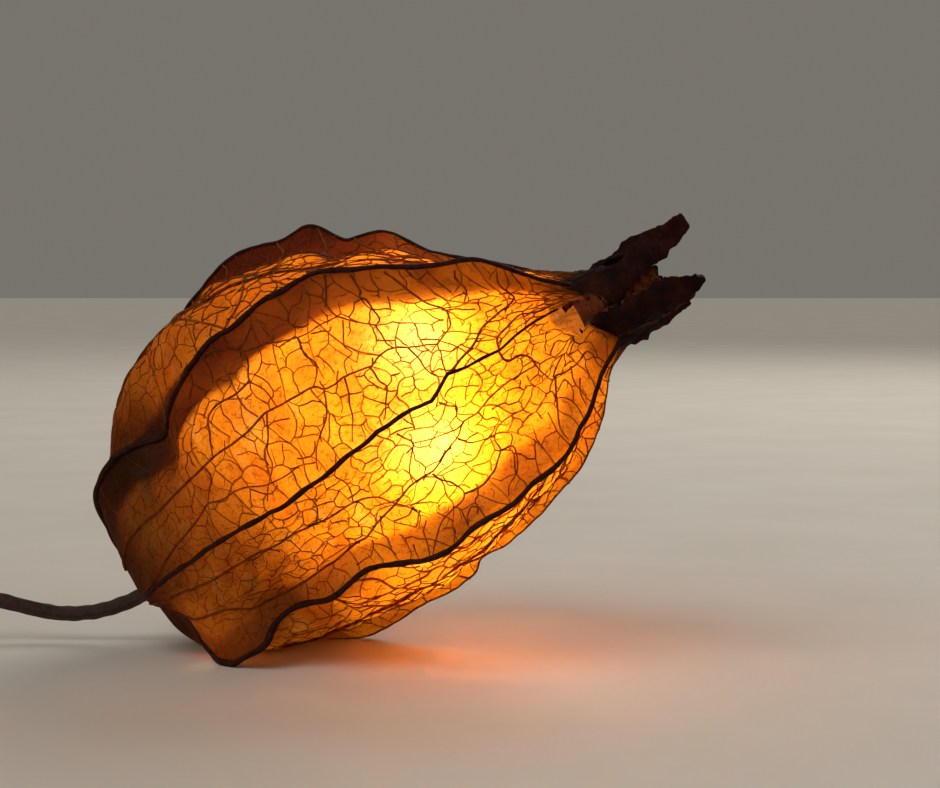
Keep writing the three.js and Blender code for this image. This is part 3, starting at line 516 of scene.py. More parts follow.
class FilmSheet:
    """The dry film's outer face: rows from stalk to mouth and columns round the husk, denser at the ridges."""
    ROWS = 236

    def __init__(self):
        shares = np.linspace(0, 1, self.ROWS)
        parts, browns_and_shades, pale_creases_and_hot_spots, self.starts, self.stations = [], [], [], [], []
        total = 0
        for index, half in enumerate(HALVES):
            body = 20 if index >= 8 else 12
            x = np.concatenate([np.linspace(0, 0.2, 7, endpoint=False), np.linspace(0.2, 1, body)])
            self.stations.append(x)
            self.starts.append(total)
            total += len(x) - 1
            kept = (x if index % 2 == 0 else x[::-1])[:-1]
            xs, ts = np.meshgrid(kept, shares)
            points, tone, pale_crease_and_hot_spot = self.dress(index, xs, ts)
            parts.append(points)
            browns_and_shades.append(tone)
            pale_creases_and_hot_spots.append(pale_crease_and_hot_spot)
        self.grid = np.concatenate(parts, 1)
        self.tone, self.pale_crease_and_hot_spot = np.concatenate(browns_and_shades, 1), np.concatenate(pale_creases_and_hot_spots, 1)
        self.grid[..., 2] = np.maximum(self.grid[..., 2], ABOVE_TABLE)
        self.normals, self.outward = stitched_normals(self.grid)

    def dress(self, index, x, t):
        """Film points with domes, wrinkles and leaning wings; its brown, painted shade and painted glow spots."""
        points = husk_point(index, x, t)
        z, up, front = axis_place(points)
        radial = points - in_space(z, bow_at(z), 0 * z)
        radial /= np.maximum(np.linalg.norm(radial, axis=-1, keepdims=True), 1e-6)
        spread = x * wing_span(index, t)
        ends = smoothstep(t, 0.0, 0.08) * (1 - smoothstep(t, 0.94, 1.0))
        flat = np.stack([spread / 2.8, 40 * t, 5.0 * index + 0 * t], -1)
        crease = smoothstep(hills(flat, 1.5, 27), 0.4, 1.1) * (1 - smoothstep(t, 0.4, 0.7)) * np.sin(np.pi * x)
        rise = domes(index, x, t) + ends * (0.07 * hills(points, 3.4, 21) + 0.035 * hills(points, 1.3, 22))
        rise = rise + 0.06 * ends * crease
        wing = np.maximum(0, 1 - spread / WING_WIDTH) ** 1.5 * wing_at(t) / WING_HEIGHT
        lean = wing * (0.1 * np.sin(64 * t + 1.7 * HALVES[index]["ridge"]) + 0.12 * hills(points, 5.0, 23))
        points = points + radial * rise[..., None] + np.cross(AXIS, radial) * lean[..., None]
        # Pinched wing edges: brown, with painted shade where the two faces close in and lamp light hardly reaches
        _, brown, broad = RIDGE_RIBS[HALVES[index]["ridge"]]
        broad = broad * (0.3 if index == 0 else 1.0)
        edge = broad * (0.45 + 0.55 * np.sin(np.pi * t)) + 0.35 * hills(points, 4.5, 24)
        wing_brown_and_shade = brown * (1 - 0.4 * smoothstep(t, 0.6, 0.9)) + 0.12 * hills(points, 6.0, 25)
        wing_brown_and_shade = wing_brown_and_shade * (1 - smoothstep(spread, edge, edge + 0.8))
        # Painted shade: darker towards the foot, where the fruit shades the lamps' light
        foot_shade = 0.5 * (1 - smoothstep(t, 0.05, 0.32)) + 0.36 * (1 - smoothstep(t, 0.24, 0.64))
        mouth_tone = 0.6 * smoothstep(t + 0.02 * hills(points, 4.0, 26), 0.92, 1.0)
        # Painted shade on the two top half panels, fading out between six and nine tenths of the way to the mouth
        crown_shade = (0.4 if index < 2 else 0.0) * (1 - smoothstep(t, 0.6, 0.9))
        pale = (1 - wing_brown_and_shade * smoothstep(t, 0.0, 0.15)) * (1 - foot_shade) * (1 - mouth_tone) * (1 - crown_shade)
        # Paler along creases, and painted glow hot spots: the film painted nearly white beside the lamps inside
        pale_crease_and_hot_spot = 0.4 * crease
        for spot in GLOW_HOT_SPOTS:
            away = np.linalg.norm(points - in_space(*spot), axis=-1)
            pale_crease_and_hot_spot = np.maximum(pale_crease_and_hot_spot, np.exp(-((away / HOT_SPOT_RADIUS) ** 2)))
        return points, np.clip(1 - pale, 0, 1), pale_crease_and_hot_spot

    def at(self, index, x, t):
        """Points on the film's face and their normals."""
        stations = self.stations[index]
        place = np.interp(x, stations, np.arange(len(stations)))
        if index % 2 == 1:
            place = len(stations) - 1 - place
        column = self.starts[index] + place
        row = np.clip(np.asarray(t, float), 0, 1) * (self.ROWS - 1)
        c, r = np.floor(column).astype(int), np.minimum(row.astype(int), self.ROWS - 2)
        u, v = (column - c)[..., None], (row - r)[..., None]
        wrap = self.grid.shape[1]
        result = []
        for field in (self.grid, self.normals):
            low = field[r, c % wrap] * (1 - u) + field[r, (c + 1) % wrap] * u
            high = field[r + 1, c % wrap] * (1 - u) + field[r + 1, (c + 1) % wrap] * u
            result.append(low * (1 - v) + high * v)
        result[1] = result[1] / np.linalg.norm(result[1], axis=-1, keepdims=True)
        return result

    def vein(self, index, x, t, radius, sink=0.25):
        """Centre line of a vein on the film, sunk into it by a share of its radius, above the table."""
        points, normals = self.at(index, x, t)
        points = points + normals * (np.asarray(radius) * (1 - sink))[..., None]
        points[..., 2] = np.maximum(points[..., 2], radius)
        return points


# Paths of the veins

class VeinSet:
    """Polylines in millimetres with a radius at each point, left out where the film is torn away."""

    def __init__(self):
        self.points, self.radii, self.edges, self.count = [], [], [], 0

    def add(self, points, radii):
        n = len(points)
        if in_tear(points).any():
            return
        self.points.append(points)
        self.radii.append(np.broadcast_to(radii, (n,)))
        self.edges.append(np.stack([np.arange(n - 1), np.arange(1, n)], 1) + self.count)
        self.count += n


def bent_line(p, q, steps, sway, draw):
    """A line from p to q with its middle swayed to one side."""
    p, q = np.asarray(p, float), np.asarray(q, float)
    s = np.linspace(0, 1, steps + 1)[:, None]
    aside = np.array([q[1] - p[1], p[0] - q[0]])
    bend = draw.normal(0, sway) * np.sin(np.pi * s) + draw.normal(0, sway * 0.5) * np.sin(2 * np.pi * s)
    return p + (q - p) * s + aside * bend


def inside_polygon(point, polygon):
    signs = []
    for i, p in enumerate(polygon):
        q = polygon[(i + 1) % len(polygon)]
        signs.append((q[0] - p[0]) * (point[1] - p[1]) - (q[1] - p[1]) * (point[0] - p[0]))
    return all(s >= 0 for s in signs) or all(s <= 0 for s in signs)


def fine_cells(cell, draw):
    """Small cells within one cell of the net, each with its seed."""
    corners = np.array(cell)
    low, high = corners.min(0), corners.max(0)
    x, y = corners[:, 0], corners[:, 1]
    area = abs(np.dot(x, np.roll(y, 1)) - np.dot(y, np.roll(x, 1))) / 2
    count = max(2, int(round(area / FINE_CELL**2)))
    seeds = []
    while len(seeds) < count:
        tries = [p for p in draw.uniform(low, high, (10, 2)) if inside_polygon(p, cell)]
        if tries:
            seeds.append(max(tries, key=lambda p: min((np.hypot(*(p - s)) for s in seeds), default=1.0)))
    cells = []
    for i, own in enumerate(seeds):
        polygon = list(cell)
        for j, other in enumerate(seeds):
            if j != i:
                polygon = nearer_side(polygon, own, other)
        if len(polygon) > 2:
            cells.append((own, polygon))
    return cells


def on_border(p, q, cell):
    mid = ((p[0] + q[0]) / 2, (p[1] + q[1]) / 2)
    for i, a in enumerate(cell):
        b = cell[(i + 1) % len(cell)]
        length = math.hypot(b[0] - a[0], b[1] - a[1])
        off = abs((b[0] - a[0]) * (mid[1] - a[1]) - (b[1] - a[1]) * (mid[0] - a[0])) / max(length, 1e-9)
        if off < 1e-4:
            return True
    return False


def trace_ribs(sheet):
    """The dark ribs of ridges and front groove, and the paler long veins of the other grooves and the panels."""
    ribs, long_veins = VeinSet(), VeinSet()
    t = np.linspace(0, 1, 170)
    for index, half in enumerate(HALVES):
        rough = np.stack([52 * t, 7.0 * index + 0 * t, 0 * t], 1)
        if index % 2 == 0:
            thick = RIDGE_RIBS[half["ridge"]][0]
            radius = thick * (1 - 0.4 * t) * (1 + 0.16 * hills(rough, 3.0, 11))
            kind = long_veins if thick < 0.15 else ribs
            for part in (t < 0.8, t > 0.79):
                kind.add(sheet.vein(index, 0 * t[part], t[part], radius[part], 1.0), radius[part])
            radius = GROOVE_RIBS[half["groove"]] * (1 - 0.5 * smoothstep(t, 0.5, 0.95))
            radius = radius * (1 + 0.16 * hills(rough, 2.5, 12))
            x = 1 - np.abs(0.02 * hills(rough, 3.5, 13)) * np.sin(np.pi * t)
            keep = t < (0.955 if half["groove"] == 4 else 1.01)
            kind = ribs if half["groove"] == 4 else long_veins
            kind.add(sheet.vein(index, x[keep], t[keep], radius[keep]), radius[keep])
        for name, line in strip_borders(index):
            if name == "side" and index < 8:
                s = np.linspace(0.02, 0.9, 120)
                radius = SIDE_RADIUS * (1 - 0.55 * s)
                sway = 0.012 * hills(np.stack([45 * s, 3.0 * index + 0 * s, 0 * s], 1), 3.0, 14)
                long_veins.add(sheet.vein(index, line(s) + sway, s, radius), radius)
    for index, thick, numbers in LONG_VEINS:
        route = np.reshape(numbers, (-1, 2)) / (1000, 100)
        path = SmoothPath(route).along(np.linspace(0, 1, 60))
        radius = thick * np.linspace(1, 0.55, 60)
        long_veins.add(sheet.vein(index, np.clip(path[:, 1], 0, 1), path[:, 0], radius), radius)
    return ribs, long_veins


def goes_on(strip, place):
    """Whether a vein that ends on a wing's root meets another on the far side; ends elsewhere always do."""
    for side, edge in enumerate((0, strip["width"])):
        name = strip["names"][side]
        if abs(place[0] - edge) < 1e-6 and name.endswith(":1"):
            others = [one for one in strips if name in one["names"] and one is not strip]
            ends = [p[1] for one in others for e in one["edges"] for p in e
                    if abs(p[0] - (one["width"] if side == 0 else 0)) < 1e-6]
            return any(abs(end - place[1]) < 0.4 for end in ends)
    return True


def young(t):
    """How thick the net is at a share of the length: it is fainter near the stalk."""
    return 0.34 + 0.66 * smoothstep(t, 0.14, 0.5)


def trace_net(sheet):
    """The net between the ribs: veins round its cells, finer ones within them and threads that end blind."""
    veins, net, threads = VeinSet(), VeinSet(), VeinSet()
    draw = np.random.default_rng(SEED)
    for strip in strips:
        index = strip["half"]
        for p, q in strip["edges"]:
            x, t = strip_to_panel(strip, bent_line(p, q, 5, 0.09, draw))
            radius = VEIN_RADIUS * draw.uniform(0.7, 1.25) * (0.65 if index >= 8 else 1.0) * young(t)
            share = np.linspace(0, 1, 6)
            for end, away in ((p, share), (q, 1 - share)):
                radius = radius * (1 if goes_on(strip, end) else np.minimum(1, 0.15 + away))
            veins.add(sheet.vein(index, x, t, radius), radius)
        for cell in strip["cells"]:
            known = set()
            for own, polygon in fine_cells(cell, draw):
                inner = []
                for i, p in enumerate(polygon):
                    q = polygon[(i + 1) % len(polygon)]
                    if math.hypot(q[0] - p[0], q[1] - p[1]) < 0.04 or on_border(p, q, cell):
                        continue
                    inner.append((p, q))
                    key = (round((p[0] + q[0]) / 2, 3), round((p[1] + q[1]) / 2, 3))
                    if key in known:
                        continue
                    known.add(key)
                    x, t = strip_to_panel(strip, bent_line(p, q, 3, 0.08, draw))
                    radius = FINE_RADIUS * draw.uniform(0.7, 1.15) * young(t)
                    net.add(sheet.vein(index, x, t, radius, 0.0), radius)
                for p, q in inner[:1]:
                    share = draw.uniform(0.25, 0.75)
                    start = np.array(p) * (1 - share) + np.array(q) * share
                    tip = start + (np.array(own) - start) * draw.uniform(0.5, 1.1)
                    x, t = strip_to_panel(strip, bent_line(start, tip, 2, 0.25, draw))
                    radius = THREAD_RADIUS * np.array([1.0, 0.9, 0.5]) * young(t)
                    threads.add(sheet.vein(index, x, t, radius, 0.0), radius)
    return veins, net, threads


# Materials

def linear(hex_colour):
    """An sRGB hex colour as linear red, green, blue and alpha."""
    parts = [int(hex_colour[i:i + 2], 16) / 255 for i in (1, 3, 5)]
    return tuple(c / 12.92 if c <= 0.04045 else ((c + 0.055) / 1.055) ** 2.4 for c in parts) + (1.0,)


def add(tree, kind, settings=None, links=None):
    """Adds a node with its properties, sockets and colour stops, and links other nodes' outputs to its inputs."""
    node = tree.nodes.new(kind)
    for key, value in (settings or {}).items():
        if key == "stops":
            for element, (position, colour) in zip(node.color_ramp.elements, value):
                element.position = position
                element.color = linear(colour) if isinstance(colour, str) else (colour, colour, colour, 1.0)
        elif isinstance(key, str) and hasattr(node, key):
            setattr(node, key, value)
        else:
            node.inputs[key].default_value = linear(value) if str(value).startswith("#") else value
    for key, source in (links or {}).items():
        output = source if isinstance(source, bpy.types.NodeSocket) else source.outputs[0]
        tree.links.new(output, node.inputs[key])
    return node


def new_material(name):
    """An empty material, its tree and the object's own coordinates."""
    material = bpy.data.materials.new(name)
    material.use_nodes = True
    material.node_tree.nodes.clear()
    return material, material.node_tree, add(material.node_tree, "ShaderNodeTexCoord").outputs["Object"]


def lay_over(tree, colour, layers):
    """Other colours laid over a colour in turn, each by its own share."""
    for share, top in layers:
        colour = add(tree, "ShaderNodeMix", {"data_type": "RGBA", 7: top}, {0: share, 6: colour}).outputs[2]
    return colour


def leaf_shader(tree, front, through, share, bump, roughness, gloss):
    """A leaf's surface: light reflected by its face and light scattered through it. Ends the tree."""
    surface = add(tree, "ShaderNodeBsdfPrincipled",
                  {"Roughness": roughness, "IOR": 1.45, "Specular IOR Level": gloss},
                  {"Base Color": front, "Normal": bump})
    glow = add(tree, "ShaderNodeBsdfTranslucent", {}, {"Color": through, "Normal": bump})
    both = add(tree, "ShaderNodeMixShader", {0: share}, {1: surface, 2: glow})
    add(tree, "ShaderNodeOutputMaterial", {}, {"Surface": both})


def film_material():
    """Dried calyx film: papery leaf tissue left between the veins. Light behind it scatters through and makes
    it glow amber; its face is matt with a faint waxy sheen, finely wrinkled and specked, browner and with painted
    shade at its pinched edges, painted shade at its foot and top panels, and painted glow spots by the lamps."""
    material, tree, place = new_material("dried_calyx_film")
    tone = add(tree, "ShaderNodeAttribute", {"attribute_name": "tone"}).outputs["Fac"]
    pale_crease_and_hot_spot = add(tree, "ShaderNodeAttribute", {"attribute_name": "pale_crease_and_hot_spot"}).outputs["Fac"]
    # Blotches of 3 mm, specks of 0.28 mm, the smallest net, 0.36 mm across, and wrinkles of 0.67 mm
    blotch = add(tree, "ShaderNodeTexNoise", {"Scale": 0.33 * PER_MM, "Detail": 3.0}, {"Vector": place})
    speck = add(tree, "ShaderNodeTexNoise", {"Scale": 3.6 * PER_MM, "Detail": 2.0}, {"Vector": place})
    mesh = add(tree, "ShaderNodeTexVoronoi", {"feature": "DISTANCE_TO_EDGE", "Scale": 2.8 * PER_MM},
               {"Vector": place})
    wrinkle = add(tree, "ShaderNodeTexNoise", {"Scale": 1.5 * PER_MM, "Detail": 4.0, "Distortion": 0.6},
                  {"Vector": place})
    thread = add(tree, "ShaderNodeValToRGB", {"stops": [(0.0, 0.4), (0.08, 0.0)]}, {0: mesh})
    dots = add(tree, "ShaderNodeValToRGB", {"stops": [(0.55, 0.0), (0.72, 0.6)]}, {0: speck})
    glow = add(tree, "ShaderNodeValToRGB", {"stops": [(0.3, "#F3BC54"), (0.7, "#FBD56E")]}, {0: blotch})
    # Painted glow: hot spots nearly white, creases paler; then brown and painted shade; then specks and the finest
    # net
    glow = lay_over(tree, glow, [(pale_crease_and_hot_spot, "#FFF8E2"), (tone, "#6E4018"), (dots, "#8F5A22"), (thread, "#A66C30")])
    front = add(tree, "ShaderNodeValToRGB", {"stops": [(0.3, "#96581A"), (0.7, "#B0702A")]}, {0: blotch})
    # Brown and painted shade darken the face too, then specks and the finest net
    front = lay_over(tree, front, [(tone, "#4E2610"), (dots, "#6A3412"), (thread, "#7C441A")])
    bump = add(tree, "ShaderNodeBump", {"Strength": 0.5, "Distance": 0.12 * MM}, {"Height": wrinkle})
    leaf_shader(tree, front, glow, 0.72, bump, 0.55, 0.3)
    return material


def vein_material(name, dark, light, share):
    """Dried leaf vein: a woody strand, matt, that lets a little light through where it is slender, with streaks of
    0.45 mm."""
    material, tree, place = new_material(name)
    streak = add(tree, "ShaderNodeTexNoise", {"Scale": 2.2 * PER_MM, "Detail": 3.0}, {"Vector": place})
    colour = add(tree, "ShaderNodeValToRGB", {"stops": [(0.3, dark), (0.75, light)]}, {0: streak})
    bump = add(tree, "ShaderNodeBump", {"Strength": 0.6, "Distance": 0.05 * MM}, {"Height": streak})
    leaf_shader(tree, colour, colour, share, bump, 0.65, 0.2)
    return material


def lobe_material():
    """Dried sepal tip: thick shrivelled leaf, almost black, with a dull maroon brown where the light reaches."""
    material, tree, place = new_material("dried_sepal_tip")
    # Blotches of 1.4 mm and a net of 0.67 mm
    blotch = add(tree, "ShaderNodeTexNoise", {"Scale": 0.7 * PER_MM, "Detail": 4.0}, {"Vector": place})
    mesh = add(tree, "ShaderNodeTexVoronoi", {"feature": "DISTANCE_TO_EDGE", "Scale": 1.5 * PER_MM},
               {"Vector": place})
    thread = add(tree, "ShaderNodeValToRGB", {"stops": [(0.0, 0.4), (0.09, 0.0)]}, {0: mesh})
    colour = add(tree, "ShaderNodeValToRGB", {"stops": [(0.35, "#170504"), (0.7, "#3A130A")]}, {0: blotch})
    colour = lay_over(tree, colour, [(thread, "#0E0302")])
    height = add(tree, "ShaderNodeMath", {"operation": "MULTIPLY_ADD", 1: 0.5}, {0: thread, 2: blotch})
    bump = add(tree, "ShaderNodeBump", {"Strength": 0.7, "Distance": 0.12 * MM}, {"Height": height})
    leaf_shader(tree, colour, colour, 0.15, bump, 0.7, 0.12)
    return material


def berry_material():
    """Fresh fruit skin: smooth and waxy over juicy flesh, deep orange with pale blotches of 4 mm and tiny dots."""
    material, tree, place = new_material("waxy_fruit_skin")
    blotch = add(tree, "ShaderNodeTexNoise", {"Scale": 0.26 * PER_MM, "Detail": 2.0}, {"Vector": place})
    dots = add(tree, "ShaderNodeTexVoronoi", {"Scale": 1.5 * PER_MM}, {"Vector": place})
    colour = add(tree, "ShaderNodeValToRGB", {"stops": [(0.3, "#D9700C"), (0.7, "#F0951E")]}, {0: blotch})
    pale = add(tree, "ShaderNodeValToRGB", {"stops": [(0.08, 0.35), (0.2, 0.0)]}, {0: dots})
    colour = lay_over(tree, colour, [(pale, "#F7C268")])
    bump = add(tree, "ShaderNodeBump", {"Strength": 0.15, "Distance": 0.05 * MM}, {"Height": dots})
    surface = add(tree, "ShaderNodeBsdfPrincipled",
                  {"Roughness": 0.28, "IOR": 1.4, "Subsurface Weight": 0.25, "Subsurface Scale": 2 * MM,
                   "Coat Weight": 0.3, "Coat Roughness": 0.2}, {"Base Color": colour, "Normal": bump})
    add(tree, "ShaderNodeOutputMaterial", {}, {"Surface": surface})
    return material


def stem_material():
    """Dried stalk: a thin woody stem, matt dark brown, its wrinkles and lighter worn ridges 0.55 mm apart."""
    material, tree, place = new_material("dried_stalk")
    grain = add(tree, "ShaderNodeTexNoise", {"Scale": 1.8 * PER_MM, "Detail": 4.0}, {"Vector": place})
    colour = add(tree, "ShaderNodeValToRGB", {"stops": [(0.3, "#170904"), (0.75, "#452412")]}, {0: grain})
    bump = add(tree, "ShaderNodeBump", {"Strength": 0.6, "Distance": 0.1 * MM}, {"Height": grain})
    surface = add(tree, "ShaderNodeBsdfPrincipled", {"Roughness": 0.7, "IOR": 1.45},
                  {"Base Color": colour, "Normal": bump})
    add(tree, "ShaderNodeOutputMaterial", {}, {"Surface": surface})
    return material


def floor_material():
    """Pale matt studio board with a faint grain of 17 mm."""
    material, tree, place = new_material("pale_board")
    grain = add(tree, "ShaderNodeTexNoise", {"Scale": 0.06 * PER_MM, "Detail": 3.0}, {"Vector": place})
    colour = add(tree, "ShaderNodeValToRGB", {"stops": [(0.3, "#D9D3C8"), (0.7, "#DFDAD0")]}, {0: grain})
    surface = add(tree, "ShaderNodeBsdfPrincipled", {"Roughness": 0.75}, {"Base Color": colour})
    add(tree, "ShaderNodeOutputMaterial", {}, {"Surface": surface})
    return material


# Meshes

def link_object(name, mesh, material):
    obj = bpy.data.objects.new(name, mesh)
    bpy.context.scene.collection.objects.link(obj)
    mesh.materials.clear()
    mesh.materials.append(material)
    return obj


def mesh_piece(name, points, faces, material, fields=None):
    """A smooth-shaded mesh from points in millimetres, with a number at each point for each named field."""
    mesh = bpy.data.meshes.new(name)
    mesh.from_pydata((np.asarray(points) * MM).tolist(), [], [list(map(int, f)) for f in faces])
    for field, values in (fields or {}).items():
        mesh.attributes.new(field, "FLOAT", "POINT").data.foreach_set("value", np.asarray(values, np.float32))
    mesh.shade_smooth()
    mesh.update()
    return link_object(name, mesh, material)


def face_outwards(obj):
    shape = bmesh.new()
    shape.from_mesh(obj.data)
    bmesh.ops.recalc_face_normals(shape, faces=shape.faces)
    shape.to_mesh(obj.data)
    shape.free()
    obj.data.update()
    return obj


def grid_faces(rows, columns, wrap):
    """Quads of a grid of points; with wrap, its last column joins the first."""
    r, c = np.meshgrid(np.arange(rows - 1), np.arange(columns if wrap else columns - 1), indexing="ij")
    d = (c + 1) % columns
    corners = [r * columns + c, r * columns + d, (r + 1) * columns + d, (r + 1) * columns + c]
    return np.stack(corners, -1).reshape(-1, 4)


def two_faced(upper, lower, faces):
    """Points and faces of a thin closed sheet: an upper face, a lower face and the rims that join them."""
    count = len(upper)
    edges = np.concatenate([faces[:, [i, (i + 1) % 4]] for i in range(4)]).astype(np.int64)
    ahead, back = edges[:, 0] * count + edges[:, 1], edges[:, 1] * count + edges[:, 0]
    rim = edges[~np.isin(ahead, back)]
    rims = np.stack([rim[:, 1], rim[:, 0], rim[:, 0] + count, rim[:, 1] + count], 1)
    everything = np.concatenate([faces, faces[:, ::-1] + count, rims])
    used, mapped = np.unique(everything, return_inverse=True)
    return np.concatenate([upper, lower])[used], mapped.reshape(everything.shape), used % count


def cut_tear(upper, lower, faces):
    """Takes the torn hole's faces away and draws the points left along it onto its frayed outline."""
    hole = in_tear(upper[faces].mean(1))
    rim = np.intersect1d(np.unique(faces[hole]), np.unique(faces[~hole]))
    z, up, _ = axis_place(upper[rim])
    start, end = tear_outline, np.roll(tear_outline, -1, 0)
    here = np.stack([z, up], 1)
    way = end - start
    share = np.clip(np.einsum("nmk,mk->nm", here[:, None] - start, way) / np.sum(way**2, 1), 0, 1)
    feet = start + share[..., None] * way
    best = np.linalg.norm(feet - here[:, None], axis=-1).argmin(1)
    shift = feet[np.arange(len(here)), best] - here
    shift *= np.minimum(1, 0.35 / np.maximum(np.linalg.norm(shift, axis=1, keepdims=True), 1e-6))
    for points in (upper, lower):
        points[rim] += shift[:, :1] * AXIS + shift[:, 1:] * UP
    return faces[~hole]


def vein_tree():
    """Geometry Nodes: strands of the given thickness along the edges of a net."""
    tree = bpy.data.node_groups.new("vein strands", "GeometryNodeTree")
    for name, kind, side in (("Geometry", "Geometry", "INPUT"), ("Thickness", "Float", "INPUT"),
                             ("Sides", "Int", "INPUT"), ("Strand material", "Material", "INPUT"),
                             ("Geometry", "Geometry", "OUTPUT")):
        tree.interface.new_socket(name, in_out=side, socket_type="NodeSocket" + kind)
    given = add(tree, "NodeGroupInput")
    geometry, thickness, sides, material = (given.outputs[i] for i in range(4))
    curves = add(tree, "GeometryNodeMeshToCurve", {}, {"Mesh": geometry})
    thick = add(tree, "GeometryNodeInputNamedAttribute", {"data_type": "FLOAT", "Name": "thick"})
    radius = add(tree, "ShaderNodeMath", {"operation": "MULTIPLY"}, {0: thick, 1: thickness})
    sized = add(tree, "GeometryNodeSetCurveRadius", {}, {"Curve": curves, "Radius": radius})
    profile = add(tree, "GeometryNodeCurvePrimitiveCircle", {"Radius": 1.0}, {"Resolution": sides})
    strand = add(tree, "GeometryNodeCurveToMesh", {"Fill Caps": True},
                 {"Curve": sized, "Profile Curve": profile})
    if "Scale" in strand.inputs:
        tree.links.new(radius.outputs[0], strand.inputs["Scale"])
    smooth = add(tree, "GeometryNodeSetShadeSmooth", {}, {0: strand})
    real = add(tree, "GeometryNodeRealizeInstances", {}, {0: smooth})
    dressed = add(tree, "GeometryNodeSetMaterial", {}, {"Geometry": real, "Material": material})
    add(tree, "NodeGroupOutput", {}, {0: dressed})
    return tree


def vein_piece(name, veins, sides, material, tree):
    """Strands along all polylines of a vein set, as one plain mesh."""
    mesh = bpy.data.meshes.new(name + "_net")
    points = np.concatenate(veins.points) * MM
    mesh.from_pydata(points.tolist(), np.concatenate(veins.edges).tolist(), [])
    thick = np.concatenate(veins.radii).astype(np.float32) * MM
    mesh.attributes.new("thick", "FLOAT", "POINT").data.foreach_set("value", thick)
    wires = bpy.data.objects.new(name + "_net", mesh)
    bpy.context.scene.collection.objects.link(wires)
    modifier = wires.modifiers.new("strands", "NODES")
    modifier.node_group = tree
    values = {"Thickness": 1.0, "Sides": sides, "Strand material": material}
    for item in tree.interface.items_tree:
        if item.item_type == "SOCKET" and item.in_out == "INPUT" and item.name in values:
            modifier[item.identifier] = values[item.name]
    made = wires.evaluated_get(bpy.context.evaluated_depsgraph_get())
    result = bpy.data.meshes.new_from_object(made)
    result.name = name
    bpy.data.objects.remove(wires)
    return link_object(name, result, material)


def film_piece(sheet, material):
    rows, columns = sheet.grid.shape[:2]
    outer = sheet.grid.reshape(-1, 3).copy()
    inner = (sheet.grid - sheet.normals * FILM).reshape(-1, 3)
    inner[:, 2] = np.maximum(inner[:, 2], ABOVE_TABLE + 0.7 * FILM)
    faces = grid_faces(rows, columns, True)
    faces = cut_tear(outer, inner, faces if sheet.outward else faces[:, ::-1])
    points, faces, source = two_faced(outer, inner, faces)
    fields = {"tone": sheet.tone.ravel()[source], "pale_crease_and_hot_spot": sheet.pale_crease_and_hot_spot.ravel()[source]}
    return mesh_piece("husk_film", points, faces, material, fields)


def lobe_grid(order, rows=84, columns=27):
    """Upper and lower face of one lobe: the solid's blade with ragged edges, ripples, a midrib and side veins."""
    angle0, start, length, turn, halves, radii = LOBES[order]
    draw = random_source(SEED + 17 * order + 3)
    widths, frays = [], []
    for s in range(10):
        widths.append(1 + (0.24 * (next(draw) - 0.5) if s > 1 else 0))
        frays.append([0.34 * (next(draw) - 0.5) for _ in range(2)])
    share = np.linspace(0, 1, rows)[:, None]
    across = np.linspace(-1, 1, columns)[None, :]
    stations = np.linspace(0, 1, 10)
    half_list, radius_list = (SmoothPath(list(enumerate(values))) for values in (halves, radii))
    radius = radius_list.at(share[:, 0])[:, 1][:, None]
    half = (half_list.at(share[:, 0])[:, 1] * np.interp(share[:, 0], stations, widths))[:, None]
    rough = np.random.default_rng(90 + order)
    nicks = rough.uniform(-1, 1, (rows, 2))
    nicks = (nicks + np.roll(nicks, 1, 0) + 0.6 * np.roll(nicks, 2, 0)) * smoothstep(share, 0.1, 0.3)
    nicks = np.where(across < 0, nicks[:, :1], nicks[:, 1:]) * smoothstep(np.abs(across), 0.5, 1)
    side = across * half * (1 + 0.06 * nicks)
    tip = np.interp(across, np.linspace(-1, 1, 6), rough.uniform(-0.3, 0.3, 6))
    fray = np.stack([np.interp(share[:, 0], stations, [f[k] for f in frays]) for k in (0, 1)], 1)
    fray = np.where(across < 0, fray[:, :1], fray[:, 1:]) * smoothstep(np.abs(across), 0.6, 1.0)
    along = start + share * length + fray + tip * smoothstep(share, 0.86, 1.0)
    angle = np.radians(angle0 + turn * share)
    fold = 0.55 * np.sin(np.pi * share) + 0.25
    sag = side**2 / (2 * np.maximum(2.6, radius)) + fold * 0.4 * np.abs(across) * share
    wave = 0.22 * np.sin(7 * share + 2.5 * across + order)
    flat = np.stack(np.broadcast_arrays(share * length, side, 3.0 * order), -1)
    wave = wave + smoothstep(share, 0.1, 0.4) * (0.14 * hills(flat, 2.4, 31) + 0.06 * hills(flat, 0.9, 32))
    crest = 0.2 * np.exp(-((side / 0.16) ** 2)) * (1 - 0.5 * share)
    branch = (share * length - 1.1 * np.abs(side)) / 1.25
    branch = np.exp(-(((branch - np.round(branch)) * 1.25 / 0.12) ** 2))
    crest = crest + 0.09 * branch * smoothstep(np.abs(side), 0.1, 0.3)
    sides = []
    for lift in (LOBE_THICKNESS / 2 + crest, -LOBE_THICKNESS / 2 + 0 * across):
        r = radius - sag + wave + lift * (1 - 0.6 * smoothstep(np.abs(across), 0.7, 1.0))
        up = r * np.sin(angle) + side * np.cos(angle)
        front = r * np.cos(angle) - side * np.sin(angle)
        sides.append(in_space(along, bow_at(along) + up, front).reshape(-1, 3))
    return sides, grid_faces(rows, columns, False)


def lobes_piece(material):
    points, faces, count = [], [], 0
    for order in range(len(LOBES)):
        (top, bottom), grid = lobe_grid(order)
        blade, skin, _ = two_faced(top, bottom, cut_tear(top, bottom, grid[:, ::-1]))
        points.append(blade)
        faces.append(skin + count)
        count += len(blade)
    return face_outwards(mesh_piece("husk_lobes", np.concatenate(points), np.concatenate(faces), material))


